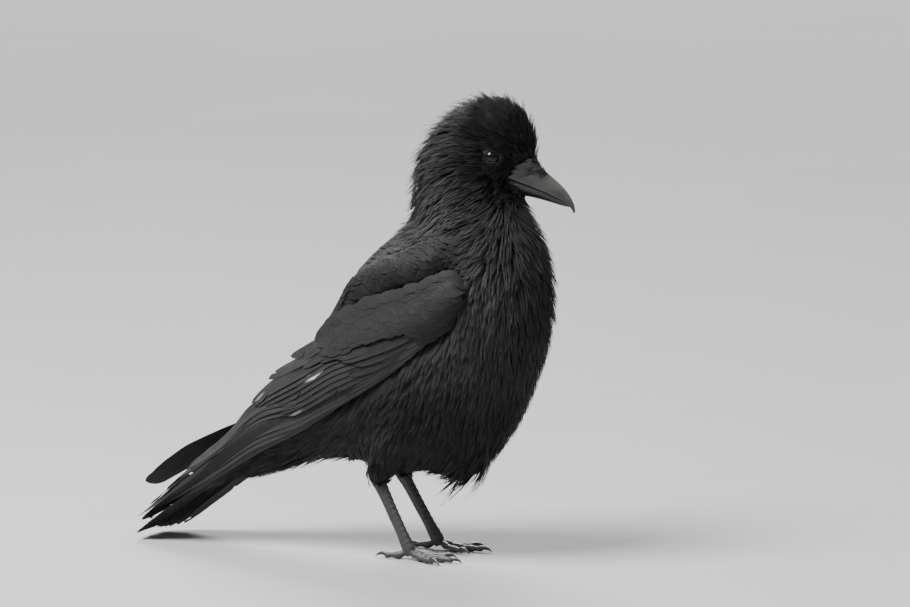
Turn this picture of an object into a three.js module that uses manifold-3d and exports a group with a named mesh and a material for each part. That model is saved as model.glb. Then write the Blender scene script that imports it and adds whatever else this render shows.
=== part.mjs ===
// A standing crow at life size, as a still museum model: a fluffed, upright bird with a raised crest,
// its head turned a little to its left and its folded wings and tail sloping down behind.
//
// Frame: millimetres, +X the way the breast faces, +Y the bird's left, +Z up. The solids are worked out
// about a point on the floor midway between the feet, and the finished group is then moved so that its
// origin is at the bottom centre of its own box.
import * as THREE from "three";
import { mergeVertices } from "three/addons/utils/BufferGeometryUtils.js";
import Module from "manifold-3d";

const wasm = await Module();
wasm.setup();

// ---- Driving sizes -------------------------------------------------------------------------------

const GAP = 0.3; // clearance between neighbouring pieces
const HEAD_TURN = 25; // degrees that the head looks to the bird's left of the breast
const NECK_X = 35; // where the upright axis of the neck stands
const FAR = 400; // reaches past the whole bird, for cutting blocks

const EYE = { radius: 6.4, ahead: 20.4, up: 308.5, out: 17.2 };

const STANCE = 25; // how far each leg stands from the middle
const LEGS = {
  left: { ankle: [-30, 60], foot: [2, 7.2] }, // [x, z] of the two ends of the tarsus
  right: { ankle: [-26, 62], foot: [1.5, 7.2] },
};
const THIGH = [ // feathered, from inside the belly down to the ankle, as [x, z] from the ankle
  { from: [28, 50], radius: 25 },
  { from: [12, 26], radius: 22 },
  { from: [5, 9], radius: 13 },
  { from: [-1, -2], radius: 6 },
];
const TARSUS_RADIUS = [3.6, 2.7, 2.6, 3.2]; // ankle, upper shaft, lower shaft, foot
const TARSUS_DEPTH = 1.35; // front-to-back depth as a share of its width
const PAD_HEIGHT = 2.1; // height of a toe's centreline over the floor

// The folded tail: where it leaves the rump, how steeply it slopes and rolls, and its half width and half
// thickness at the base and the tip. Its outer feathers stop short of the middle ones.
const TAIL = {
  base: [-96, 95],
  slope: 33,
  roll: 7,
  length: 157,
  half: [14, 30],
  halfThick: [4.6, 1.2],
  arch: 2.5,
  roundedFrom: 0.9, // share of the length past which the corners are rounded off
  outerShortfall: 0.03,
  rings: 9,
  sides: 18,
};

// The trunk, neck and head are one sweep from the undertail coverts to the crown. Each station is a slice:
// its upper (back) and lower (belly or throat) edge as [x, z], half its width, how much it narrows
// towards the lower edge, and the share of the head's turn that has been made there.
const BODY = {
  undertail: { upper: [-150, 68], lower: [-154, 49], half: 13, narrow: 0, turn: 0 },
  vent: { upper: [-130, 94], lower: [-122, 55.5], half: 25, narrow: 0, turn: 0 },
  rump: { upper: [-107, 126], lower: [-90, 67], half: 35, narrow: 0, turn: 0 },
  loin: { upper: [-87, 157], lower: [-54, 71], half: 45, narrow: 0.02, turn: 0 },
  back: { upper: [-69, 186], lower: [-8, 66], half: 52, narrow: 0.05, turn: 0 },
  belly: { upper: [-54, 211], lower: [35, 65], half: 56, narrow: 0.06, turn: 0 },
  mantle: { upper: [-39, 229], lower: [68, 90], half: 57, narrow: 0.04, turn: 0 },
  breast: { upper: [-25, 241], lower: [89.5, 129.5], half: 56, narrow: 0.02, turn: 0 },
  shoulder: { upper: [-14, 250], lower: [103.5, 174], half: 53, narrow: 0, turn: 0.05 },
  crop: { upper: [-6.5, 258], lower: [104.5, 216], half: 47, narrow: 0, turn: 0.2 },
  collar: { upper: [-3.5, 265], lower: [95.5, 247], half: 41, narrow: 0, turn: 0.45 },
  throat: { upper: [-3.5, 277], lower: [84.5, 268], half: 34, narrow: 0.05, turn: 0.8 },
  jaw: { upper: [-2, 291], lower: [83.5, 279], half: 29, narrow: 0.25, turn: 1 },
  cheek: { upper: [1, 305], lower: [88, 291], half: 25.5, narrow: 0.42, turn: 1 },
  brow: { upper: [6.5, 317.5], lower: [91, 306], half: 23.5, narrow: 0.34, turn: 1 },
  forehead: { upper: [15, 330], lower: [90.5, 321], half: 23.5, narrow: 0.2, turn: 1 },
  crest: { upper: [27, 341], lower: [86, 334], half: 21.5, narrow: 0.05, turn: 1 },
  crown: { upper: [40, 348.5], lower: [77, 344.5], half: 15.5, narrow: 0, turn: 1 },
  peak: { upper: [54, 351.5], lower: [66, 350.5], half: 5, narrow: 0, turn: 1 },
};
const BODY_RINGS = 35;
const BODY_SIDES = 20;
const NECK_CUT = { at: [35, 253], lean: 14 }; // planes that part the sweep, by a point and a slope in degrees
const HEAD_CUT = { at: [35, 285], lean: -6 };

// The bill, in the head's own frame: distance ahead of the neck axis, and height.
const UPPER_BILL = {
  root: { upper: [40, 311], lower: [38, 292.2], half: 9.2, narrow: -0.1 },
  bristles: { upper: [50, 307.5], lower: [46, 289], half: 8.9, narrow: -0.1 },
  nostril: { upper: [59, 300.8], lower: [55, 285.2], half: 7.6, narrow: -0.1 },
  middle: { upper: [68, 292.6], lower: [63.5, 280.8], half: 6.1, narrow: -0.1 },
  curve: { upper: [76, 282.8], lower: [71.5, 276], half: 4.4, narrow: -0.1 },
  hook: { upper: [81.3, 274.4], lower: [78, 270.6], half: 2.7, narrow: 0 },
  tip: { upper: [84.3, 266.8], lower: [82.8, 265.6], half: 0.9, narrow: 0 },
};
const LOWER_BILL = {
  root: { upper: [36, 292.2], lower: [33, 283], half: 8.6, narrow: 0.1 },
  gape: { upper: [45, 288.8], lower: [43, 280.4], half: 7.6, narrow: 0.1 },
  middle: { upper: [56, 284.2], lower: [55, 277.4], half: 5.9, narrow: 0.1 },
  gonys: { upper: [67, 278.5], lower: [66.6, 273.6], half: 4.1, narrow: 0.1 },
  tip: { upper: [77, 271.7], lower: [77, 270.3], half: 1.3, narrow: 0 },
};

// A folded wing, from the bend of the wing to its tip, as [x, out, z], where out is how far it stands
// from the bird's middle. Each station gives its upper and lower edge, its thickness and its bulge.
const WING = {
  bend: { upper: [57, 46, 216], lower: [54, 48, 200], thick: 6, bulge: 3 },
  wrist: { upper: [50, 44, 223], lower: [46, 50, 185], thick: 9, bulge: 7 },
  forearm: { upper: [26, 42, 219], lower: [20, 53, 164], thick: 10, bulge: 8 },
  coverts: { upper: [-8, 40, 206], lower: [-12, 53, 140], thick: 9, bulge: 9 },
  secondaries: { upper: [-46, 34, 185], lower: [-46, 51, 120], thick: 7.5, bulge: 9 },
  inner: { upper: [-82, 22, 160], lower: [-80, 45, 103], thick: 6, bulge: 8 },
  tertials: { upper: [-114, 14, 136], lower: [-108, 38, 94], thick: 4.5, bulge: 6 },
  last: { upper: [-134, 14, 118], lower: [-131, 27, 97], thick: 2.4, bulge: 2 },
};
const PRIMARIES = {
  root: { upper: [-30, 38, 160], lower: [-30, 49, 128], thick: 3, bulge: 2 },
  middle: { upper: [-86, 33, 124], lower: [-82, 42, 97], thick: 3.2, bulge: 2 },
  outer: { upper: [-133, 25, 96], lower: [-124, 38, 78], thick: 2.8, bulge: 2 },
  blade: { upper: [-180, 22, 62], lower: [-168, 35, 51], thick: 2.2, bulge: 1.2 },
  tip: { upper: [-220, 28, 21.5], lower: [-217, 32, 18], thick: 1.2, bulge: 0.3 },
};
// How each wing's rear end differs from those tables: [x, out, z] moved in full at the tip.
const WING_SHIFT = { right: [0, 0, 0], left: [-13, -26, 23] };
const WING_CUT_X = -30; // parts the covert panel from the secondaries
const PANEL_MESH = { rings: 15, sides: 14 };
const BLADE_MESH = { rings: 12, sides: 10 };

// Toes: the way each points, in degrees to the outer side of straight ahead, and its length and root radius.
const TOES = {
  inner: { heading: -24, length: 27, radius: 2.7 },
  middle: { heading: 2, length: 35, radius: 3.0 },
  outer: { heading: 27, length: 27, radius: 2.6 },
  hind: { heading: 178, length: 19, radius: 3.1 },
};
const TOE_TAPER = [1.15, 1.05, 1, 0.88, 0.8]; // along a toe, as a share of its root radius
const CLAW = { length: 9.5, radii: [1.75, 1.5, 0.95, 0.35], heights: [2.1, 2.6, 1.9, 0.75] };

// ---- Making solids -------------------------------------------------------------------------------

const rad = THREE.MathUtils.degToRad;

function solidFrom(geometry) {
  const bare = geometry.clone();
  bare.deleteAttribute("normal");
  bare.deleteAttribute("uv");
  const merged = mergeVertices(bare, 1e-4);
  return new wasm.Manifold(
    new wasm.Mesh({
      numProp: 3,
      vertProperties: merged.attributes.position.array,
      triVerts: new Uint32Array(merged.index.array),
    }),
  );
}

function geometryFrom(solid) {
  const mesh = solid.getMesh();
  const geometry = new THREE.BufferGeometry();
  geometry.setAttribute("position", new THREE.BufferAttribute(mesh.vertProperties, 3));
  geometry.setIndex(new THREE.BufferAttribute(mesh.triVerts, 1));
  geometry.computeVertexNormals();
  return geometry;
}

// Joins rings of points into one closed solid, with a point in the middle of each end.
function skinOver(rings) {
  const sides = rings[0].length;
  const middleOf = (ring) =>
    ring.reduce((sum, p) => sum.add(p), new THREE.Vector3()).divideScalar(sides);
  const points = [...rings.flat(), middleOf(rings[0]), middleOf(rings.at(-1))];
  const first = points.length - 2;
  const last = points.length - 1;
  const faces = [];
  const at = (ring, side) => ring * sides + (side % sides);
  for (let j = 0; j < sides; j += 1) {
    faces.push(first, at(0, j + 1), at(0, j));
    faces.push(last, at(rings.length - 1, j), at(rings.length - 1, j + 1));
    for (let i = 0; i + 1 < rings.length; i += 1) {
      faces.push(at(i, j), at(i, j + 1), at(i + 1, j + 1));
      faces.push(at(i, j), at(i + 1, j + 1), at(i + 1, j));
    }
  }
  const geometry = new THREE.BufferGeometry().setFromPoints(points);
  geometry.setIndex(faces);
  const solid = solidFrom(geometry);
  if (solid.volume() > 0) return solid;
  geometry.setIndex(faces.toReversed());
  return solidFrom(geometry);
}

// One smooth curve through the same value of every station.
function throughStations(stations, pick) {
  const points = Object.values(stations).map(pick);
  const curve = new THREE.CatmullRomCurve3(points, false, "catmullrom", 0.5);
  return (t) => curve.getPoint(t);
}

// Sweeps a slice through stations. place() turns a station's edge into a point in space, and side() gives
// the way in which the slice is thick. The slice is an oval, bent outwards by its bulge.
function sweep(stations, { place, side, rings, sides, grow = 0 }) {
  const upper = throughStations(stations, (s) => place(s.upper, s));
  const lower = throughStations(stations, (s) => place(s.lower, s));
  const across = throughStations(stations, (s) => side(s));
  const form = throughStations(
    stations,
    (s) => new THREE.Vector3(s.half ?? s.thick / 2, s.narrow ?? 0, s.bulge ?? 0),
  );
  const made = [];
  for (let i = 0; i < rings; i += 1) {
    const t = i / (rings - 1);
    const high = upper(t);
    const low = lower(t);
    const middle = high.clone().add(low).multiplyScalar(0.5);
    const reach = high.clone().sub(low).multiplyScalar(0.5);
    reach.setLength(reach.length() + grow);
    const out = across(t).normalize();
    const { x: half, y: narrow, z: bulge } = form(t);
    const ring = [];
    for (let j = 0; j < sides; j += 1) {
      const angle = (j / sides) * 2 * Math.PI;
      const up = Math.cos(angle);
      const sideways = (half + grow) * Math.sin(angle) * (1 + narrow * up) + bulge * (1 - up * up);
      ring.push(middle.clone().addScaledVector(reach, up).addScaledVector(out, sideways));
    }
    made.push(ring);
  }
  return skinOver(made);
}

// A round rod along a list of points, with a radius at each.
function rod(points, radii, { rings = points.length * 3, sides = 10, flatten = 1 } = {}) {
  const path = new THREE.CatmullRomCurve3(points, false, "catmullrom", 0.5);
  const sizes = new THREE.CatmullRomCurve3(
    radii.map((r) => new THREE.Vector3(r, 0, 0)),
    false,
    "catmullrom",
    0.5,
  );
  const made = [];
  for (let i = 0; i < rings; i += 1) {
    const t = i / (rings - 1);
    const along = path.getTangent(t);
    const level = new THREE.Vector3(-along.y, along.x, 0);
    if (level.length() < 1e-6) level.set(0, 1, 0);
    level.normalize();
    const rise = new THREE.Vector3().crossVectors(along, level).normalize();
    const radius = sizes.getPoint(t).x;
    const ring = [];
    for (let j = 0; j < sides; j += 1) {
      const angle = ((j + 0.5) / sides) * 2 * Math.PI;
      ring.push(
        path
          .getPoint(t)
          .addScaledVector(level, Math.cos(angle) * radius)
          .addScaledVector(rise, Math.sin(angle) * radius * flatten),
      );
    }
    made.push(ring);
  }
  return skinOver(made);
}

// A big block on one side of a plane: the plane passes through point, and the block lies along normal.
function halfSpace(point, normal) {
  const block = new THREE.BoxGeometry(2 * FAR, 2 * FAR, 2 * FAR);
  block.translate(0, 0, FAR);
  const turn = new THREE.Quaternion().setFromUnitVectors(
    new THREE.Vector3(0, 0, 1),
    normal.clone().normalize(),
  );
  block.applyQuaternion(turn).translate(point.x, point.y, point.z);
  return solidFrom(block);
}

// The two sides of a solid, parted at a plane by the usual gap: [what lies along the normal, the rest].
function part(solid, point, normal) {
  const unit = normal.clone().normalize();
  const ahead = halfSpace(point.clone().addScaledVector(unit, GAP / 2), unit);
  const behind = halfSpace(point.clone().addScaledVector(unit, -GAP / 2), unit.clone().negate());
  return [largest(solid.intersect(ahead)), largest(solid.intersect(behind))];
}

// Booleans can leave crumbs, and a piece is one body, so only the largest is kept.
function largest(solid) {
  return solid.decompose().reduce((a, b) => (b.volume() > a.volume() ? b : a));
}

// ---- Head, neck and trunk ------------------------------------------------------------------------

// A point given in the mid-plane as [x, z], turned about the neck by its share of the head's turn.
function turned([x, z], out = 0, share = 1) {
  const angle = rad(HEAD_TURN * share);
  const ahead = x - NECK_X;
  return new THREE.Vector3(
    NECK_X + ahead * Math.cos(angle) - out * Math.sin(angle),
    ahead * Math.sin(angle) + out * Math.cos(angle),
    z,
  );
}

const leftwards = (share) => new THREE.Vector3(0, 1, 0).applyAxisAngle(
  new THREE.Vector3(0, 0, 1),
  rad(HEAD_TURN * share),
);

function makeFlesh(grow = 0) {
  return sweep(BODY, {
    place: (edge, s) => turned(edge, 0, s.turn),
    side: (s) => leftwards(s.turn),
    rings: BODY_RINGS,
    sides: BODY_SIDES,
    grow,
  });
}

function makeBill(stations, grow = 0) {
  return sweep(stations, {
    place: ([ahead, z]) => turned([ahead + NECK_X, z]),
    side: () => leftwards(1),
    rings: 11,
    sides: 12,
    grow,
  });
}

function makeEye(side, grow = 0) {
  const ball = new THREE.SphereGeometry(EYE.radius + grow, 12, 8);
  const centre = turned([NECK_X + EYE.ahead, EYE.up], side * EYE.out);
  return solidFrom(ball.translate(centre.x, centre.y, centre.z));
}

const slopePlane = ({ at: [x, z], lean }) => [
  new THREE.Vector3(x, 0, z),
  new THREE.Vector3(Math.sin(rad(lean)), 0, Math.cos(rad(lean))),
];

// ---- Wings and tail ------------------------------------------------------------------------------

// A wing surface on one side of the bird: side is 1 for the left and -1 for the right. The shift grows
// from nothing over the legs to its full amount at the wing's tip.
function makeBlade(stations, side, shift, { rings, sides, grow = 0 }) {
  const tipX = PRIMARIES.tip.upper[0];
  const place = ([x, out, z]) => {
    const share = THREE.MathUtils.clamp(x / tipX, 0, 1) ** 2;
    return new THREE.Vector3(
      x + shift[0] * share,
      side * (out + shift[1] * share),
      z + shift[2] * share,
    );
  };
  const outwards = (s) => {
    const across = place(s.upper).sub(place(s.lower));
    return new THREE.Vector3(0, across.z, -across.y).multiplyScalar(side * Math.sign(across.z || 1));
  };
  return sweep(stations, { place, side: outwards, rings, sides, grow });
}

// A flat fan with a soft arch, rolled a little so that its right side is the higher.
function makeTail(grow = 0) {
  const { base, slope, roll, length, arch, roundedFrom, outerShortfall } = TAIL;
  const rings = [];
  for (let i = 0; i < TAIL.rings; i += 1) {
    const t = i / (TAIL.rings - 1);
    const rounding = 1 - 1.4 * Math.max(t - roundedFrom, 0);
    const half = THREE.MathUtils.lerp(...TAIL.half, Math.sqrt(t)) * rounding + grow;
    const deep = THREE.MathUtils.lerp(...TAIL.halfThick, t) + grow;
    const ring = [];
    for (let j = 0; j < TAIL.sides; j += 1) {
      const angle = (j / TAIL.sides) * 2 * Math.PI;
      const outer = Math.cos(angle) ** 2;
      const x = -length * t * (1 - outerShortfall * outer);
      ring.push(new THREE.Vector3(x, Math.cos(angle) * half, Math.sin(angle) * deep - arch * outer * t));
    }
    rings.push(ring);
  }
  const place = new THREE.Matrix4()
    .makeTranslation(base[0], 0, base[1])
    .multiply(new THREE.Matrix4().makeRotationY(rad(-slope)))
    .multiply(new THREE.Matrix4().makeRotationX(rad(-roll)));
  rings.flat().forEach((p) => p.applyMatrix4(place));
  return skinOver(rings);
}

// ---- Legs ----------------------------------------------------------------------------------------

const floor = halfSpace(new THREE.Vector3(0, 0, 0), new THREE.Vector3(0, 0, -1));
const legOf = (side) => (side > 0 ? LEGS.left : LEGS.right);
const onLeg = (side, [x, z]) => new THREE.Vector3(x, side * STANCE, z);

function makeThigh(side) {
  const [x, z] = legOf(side).ankle;
  const points = THIGH.map(({ from: [ahead, above] }) => onLeg(side, [x + ahead, z + above]));
  return rod(points, THIGH.map(({ radius }) => radius), { rings: 8, sides: 14 });
}

function makeTarsus(side, grow = 0) {
  const [top, foot] = [onLeg(side, legOf(side).ankle), onLeg(side, legOf(side).foot)];
  const along = (t) => top.clone().lerp(foot, t);
  const radii = TARSUS_RADIUS.map((radius) => radius + grow);
  const shape = { rings: 7, sides: 10, flatten: TARSUS_DEPTH };
  return rod([along(-0.03), along(0.18), along(0.8), along(1)], radii, shape);
}

// The floor-side path of one toe, from under the tarsus to where its claw begins.
function toePath(side, { heading, length, radius }) {
  const [x, z] = legOf(side).foot;
  const way = new THREE.Vector3(Math.cos(rad(heading)), side * Math.sin(rad(heading)), 0);
  const start = onLeg(side, [x, z - 1.5]);
  const at = (t, height) => {
    const p = start.clone().addScaledVector(way, length * t);
    p.z = height;
    return p;
  };
  const onPads = [0.45, 0.75, 1].map((t) => at(t, PAD_HEIGHT));
  const points = [start, at(0.22, radius * 1.15), ...onPads];
  return { points, way, end: at(1, PAD_HEIGHT) };
}

function makeToe(side, toe, grow = 0) {
  const { points } = toePath(side, toe);
  const radii = TOE_TAPER.map((share) => toe.radius * share + grow);
  return rod(points, radii, { rings: 6, sides: 8 });
}

const joined = (solids) => solids.reduce((whole, solid) => whole.add(solid));

// The four toes of a foot as one piece, flat where it stands on the floor.
function makeFoot(side, grow = 0) {
  const toes = joined(Object.values(TOES).map((toe) => makeToe(side, toe, grow)));
  return grow ? toes : toes.subtract(floor);
}

function makeClaw(side, toe) {
  const { way, end } = toePath(side, toe);
  const along = [GAP / CLAW.length, 0.4, 0.75, 1];
  const points = along.map((t, i) => {
    const p = end.clone().addScaledVector(way, CLAW.length * t);
    p.z = CLAW.heights[i];
    return p;
  });
  return rod(points, CLAW.radii, { rings: 4, sides: 6 });
}

// ---- The bird ------------------------------------------------------------------------------------

const MATERIALS = {
  plumage: { color: 0x141416, roughness: 0.55 },
  flight: { color: 0x1b1c20, roughness: 0.42 },
  bill: { color: 0x2b2b2d, roughness: 0.38 },
  eye: { color: 0x0a0807, roughness: 0.05 },
  leg: { color: 0x262627, roughness: 0.5 },
  claw: { color: 0x161616, roughness: 0.35 },
};

const bird = new THREE.Group();
function add(name, solid, material) {
  const mesh = new THREE.Mesh(geometryFrom(solid), new THREE.MeshStandardMaterial(MATERIALS[material]));
  mesh.name = name;
  bird.add(mesh);
}

const SIDES = { left: 1, right: -1 };

// Flight feathers first, because the flesh is cut back from them.
const tail = makeTail();
const tailRoom = makeTail(GAP);
const clearOfFlesh = [tailRoom];
for (const [name, side] of Object.entries(SIDES)) {
  const shift = WING_SHIFT[name];
  const panel = makeBlade(WING, side, shift, PANEL_MESH);
  const panelRoom = makeBlade(WING, side, shift, { ...PANEL_MESH, grow: GAP });
  const blade = makeBlade(PRIMARIES, side, shift, BLADE_MESH);
  const bladeRoom = makeBlade(PRIMARIES, side, shift, { ...BLADE_MESH, grow: GAP });
  const [coverts, secondaries] = part(
    panel,
    new THREE.Vector3(WING_CUT_X, 0, 160),
    new THREE.Vector3(1, 0, 0.35),
  );
  add(`wing_${name}_coverts`, coverts, "plumage");
  add(`wing_${name}_secondaries`, largest(secondaries.subtract(tailRoom)), "flight");
  add(`wing_${name}_primaries`, largest(blade.subtract(panelRoom).subtract(tailRoom)), "flight");
  clearOfFlesh.push(panelRoom, bladeRoom);
}

// The flesh is one sweep, with the thighs joined in, then parted.
const clearOfHead = [makeBill(UPPER_BILL, GAP), makeBill(LOWER_BILL, GAP), makeEye(1, GAP), makeEye(-1, GAP)];
const flesh = [...clearOfFlesh, ...clearOfHead].reduce((solid, cut) => solid.subtract(cut), makeFlesh());
const [aboveTrunk, trunk] = part(flesh, ...slopePlane(NECK_CUT));
const [head, neck] = part(aboveTrunk, ...slopePlane(HEAD_CUT));
add("head", head, "plumage");
add("neck", neck, "plumage");
add("trunk", trunk, "plumage");
add("tail", tail, "flight");

const upperBill = makeBill(UPPER_BILL);
const lowerBill = largest(makeBill(LOWER_BILL).subtract(makeBill(UPPER_BILL, GAP)));
add("bill_upper", upperBill, "bill");
add("bill_lower", lowerBill, "bill");

for (const [name, side] of Object.entries(SIDES)) {
  add(`eye_${name}`, makeEye(side), "eye");

  const aroundThigh = [makeFlesh(GAP), makeTarsus(side, GAP), ...clearOfFlesh];
  const thigh = aroundThigh.reduce((solid, cut) => solid.subtract(cut), makeThigh(side));
  add(`thigh_${name}`, largest(thigh), "plumage");
  add(`tarsus_${name}`, largest(makeTarsus(side).subtract(makeFoot(side, GAP))), "leg");
  add(`foot_${name}`, makeFoot(side), "leg");
  for (const [toeName, toe] of Object.entries(TOES)) {
    add(`claw_${name}_${toeName}`, makeClaw(side, toe), "claw");
  }
}

const box = new THREE.Box3().setFromObject(bird);
const centre = box.getCenter(new THREE.Vector3());
bird.position.set(-centre.x, -centre.y, -box.min.z);

export default bird;
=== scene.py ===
"""The looks of a standing crow: one skin under a coat of modelled feathers, separate flight feathers,
bill, eyes and scaled feet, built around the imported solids.

Lengths are written in millimetres in the bird's own frame: +X the way the breast faces, +Y its left, +Z up,
with the origin on the floor midway between the feet. The head has a frame of its own, which turns about the
neck: ahead of the neck's axis, to the left, and up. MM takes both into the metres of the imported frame.
"""
import math
from itertools import product

import bpy
import numpy as np
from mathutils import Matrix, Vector
from mathutils.bvhtree import BVHTree
from mathutils.kdtree import KDTree


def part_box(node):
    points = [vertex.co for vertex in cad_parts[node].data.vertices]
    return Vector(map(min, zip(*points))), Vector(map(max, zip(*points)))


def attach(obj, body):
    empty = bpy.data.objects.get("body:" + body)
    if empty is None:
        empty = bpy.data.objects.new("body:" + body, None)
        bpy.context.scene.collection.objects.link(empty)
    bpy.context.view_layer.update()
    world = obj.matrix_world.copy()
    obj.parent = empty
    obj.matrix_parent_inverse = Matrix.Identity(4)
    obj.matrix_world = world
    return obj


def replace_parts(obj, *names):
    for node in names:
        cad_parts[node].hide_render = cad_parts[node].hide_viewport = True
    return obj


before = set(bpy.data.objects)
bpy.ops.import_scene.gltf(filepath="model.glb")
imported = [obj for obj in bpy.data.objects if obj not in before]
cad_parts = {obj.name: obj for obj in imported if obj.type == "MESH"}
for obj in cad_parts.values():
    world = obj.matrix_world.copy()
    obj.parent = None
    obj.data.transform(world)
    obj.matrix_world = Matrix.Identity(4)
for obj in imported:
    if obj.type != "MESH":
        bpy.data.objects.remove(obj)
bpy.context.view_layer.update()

MM = 0.001
SIDES = {"left": 1, "right": -1}

# ---- The bird's frame ----------------------------------------------------------------------------

HEAD_TURN = math.radians(25)
NECK_X = 35.0
EYE_AHEAD = 20.4
EYE_UP = 308.5
EYE_RADIUS = 6.4


def box_centre(node):
    low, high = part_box(node)
    return (np.array(low) + np.array(high)) / 2


EYES = {name: box_centre(f"eye_{name}") for name in SIDES}
BETWEEN_EYES = (EYES["left"] + EYES["right"]) / 2
ORIGIN = BETWEEN_EYES - MM * np.array(
    [NECK_X + EYE_AHEAD * math.cos(HEAD_TURN), EYE_AHEAD * math.sin(HEAD_TURN), EYE_UP]
)


def turned(vectors, angle):
    """Vectors turned about the upright axis."""
    v = np.asarray(vectors, float)
    c, s = math.cos(angle), math.sin(angle)
    return np.stack([v[..., 0] * c - v[..., 1] * s, v[..., 0] * s + v[..., 1] * c, v[..., 2]], -1)


def head_turned(vectors):
    """Directions in the head's frame to the bird's."""
    return turned(vectors, HEAD_TURN)


def body_place(points):
    """Millimetres in the bird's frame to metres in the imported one."""
    return ORIGIN + MM * np.asarray(points, float)


def in_body(places):
    """The reverse of body_place."""
    return (np.asarray(places) - ORIGIN) / MM


def head_place(points):
    """Millimetres in the head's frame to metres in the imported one."""
    return body_place(head_turned(points) + [NECK_X, 0, 0])


def in_head(places):
    """The reverse of head_place."""
    return turned(in_body(places) - [NECK_X, 0, 0], -HEAD_TURN)


# ---- Numbers and meshes --------------------------------------------------------------------------


def unit(v):
    return v / np.maximum(np.linalg.norm(v, axis=-1, keepdims=True), 1e-12)


def eased(x, start, end):
    """0 up to start, 1 from end on and straight between them. The end may lie below the start."""
    return np.clip((x - start) / (end - start), 0, 1)


def bell(x, spread):
    return np.exp(-((x / spread) ** 2))


def curve_through(points, count):
    """A smooth curve with count points through a few given ones, evenly spread along its length."""
    points = np.asarray(points, float)
    gaps = np.linalg.norm(np.diff(points[:, :3], axis=0), axis=1) ** 0.5
    knots = np.concatenate([[0], np.cumsum(gaps)])
    slopes = np.gradient(points, knots, axis=0)
    slopes[0] = 2 * (points[1] - points[0]) / (knots[1] - knots[0]) - slopes[1]
    slopes[-1] = 2 * (points[-1] - points[-2]) / (knots[-1] - knots[-2]) - slopes[-2]

    def at(t):
        i = np.clip(np.searchsorted(knots, t, side="right") - 1, 0, len(knots) - 2)
        h = (knots[i + 1] - knots[i])[:, None]
        f = (t - knots[i])[:, None] / h
        return ((1 + 2 * f) * (1 - f) ** 2 * points[i] + f * (1 - f) ** 2 * h * slopes[i]
                + f**2 * (3 - 2 * f) * points[i + 1] + f**2 * (f - 1) * h * slopes[i + 1])

    steps = np.linspace(0, knots[-1], 400)
    fine = at(steps)
    run = np.concatenate([[0], np.cumsum(np.linalg.norm(np.diff(fine[:, :3], axis=0), axis=1))])
    return at(np.interp(np.linspace(0, run[-1], count), run, steps))


def new_piece(name, verts, faces, material, tone, uv=None):
    """A smooth mesh object from arrays, riding on the bird's one body."""
    mesh = bpy.data.meshes.new(name)
    faces = np.asarray(faces, np.int32)
    mesh.vertices.add(len(verts))
    mesh.vertices.foreach_set("co", np.asarray(verts, np.float32).ravel())
    mesh.loops.add(faces.size)
    mesh.loops.foreach_set("vertex_index", faces.ravel())
    mesh.polygons.add(len(faces))
    mesh.polygons.foreach_set("loop_start", np.arange(0, faces.size, faces.shape[1], dtype=np.int32))
    mesh.polygons.foreach_set("use_smooth", np.full(len(faces), True))
    if uv is not None:
        layer = mesh.uv_layers.new(name="OFBake")
        layer.data.foreach_set("uv", np.asarray(uv, np.float32)[faces.ravel()].ravel())
    add_values(mesh, "tone", tone)
    mesh.update(calc_edges=True)
    mesh.validate()
    mesh.materials.append(material)
    piece = bpy.data.objects.new(name, mesh)
    bpy.context.collection.objects.link(piece)
    print(name, len(faces), "faces")
    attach(piece, "root")
    return piece


def add_values(mesh, name, values):
    """A number for each vertex, for the materials to read."""
    layer = mesh.attributes.new(name, "FLOAT", "POINT")
    layer.data.foreach_set("value", np.asarray(values, np.float32))


def mesh_arrays(mesh):
    """A mesh's vertices and triangles."""
    verts = np.empty(len(mesh.vertices) * 3, np.float32)
    mesh.vertices.foreach_get("co", verts)
    mesh.calc_loop_triangles()
    tris = np.empty(len(mesh.loop_triangles) * 3, np.int32)
    mesh.loop_triangles.foreach_get("vertices", tris)
    return verts.reshape(-1, 3).astype(float), tris.reshape(-1, 3)


def joined(parts):
    """Parts of (vertices, faces, anything else by the vertex...) as one set of the same."""
    verts, faces, *others = zip(*parts)
    starts = np.cumsum([0] + [len(v) for v in verts[:-1]])
    faces = [f + start for f, start in zip(faces, starts)]
    return [np.concatenate(column) for column in (verts, faces, *others)]


def solids(nodes):
    """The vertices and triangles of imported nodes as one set."""
    return joined([mesh_arrays(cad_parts[node].data) for node in nodes])


class Surface:
    """A closed triangle surface with smooth normals, that points can be brought down on."""

    def __init__(self, verts, tris):
        self.verts, self.tris = verts, tris
        a, b, c = (verts[tris[:, i]] for i in range(3))
        cross = np.cross(b - a, c - a)
        self.areas = np.linalg.norm(cross, axis=1) / 2
        normals = np.zeros_like(verts)
        for i in range(3):
            np.add.at(normals, tris[:, i], cross)
        self.normals = unit(normals)
        self.tree = BVHTree.FromPolygons(verts.tolist(), tris.tolist())

    def nearest(self, points):
        """The surface's nearest places to points, and its normals there."""
        places, faces = np.empty_like(points), np.empty(len(points), int)
        for i, p in enumerate(points.tolist()):
            place, _, face, _ = self.tree.find_nearest(p)
            places[i], faces[i] = place, face
        return places, unit(self.normals[self.tris[faces]].mean(axis=1))

    def depth_of(self, points):
        """How far each point is outside the surface, or, where it is negative, inside."""
        places, normals = self.nearest(points)
        away = points - places
        return np.linalg.norm(away, axis=1) * np.where((away * normals).sum(1) < 0, -1, 1)


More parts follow.
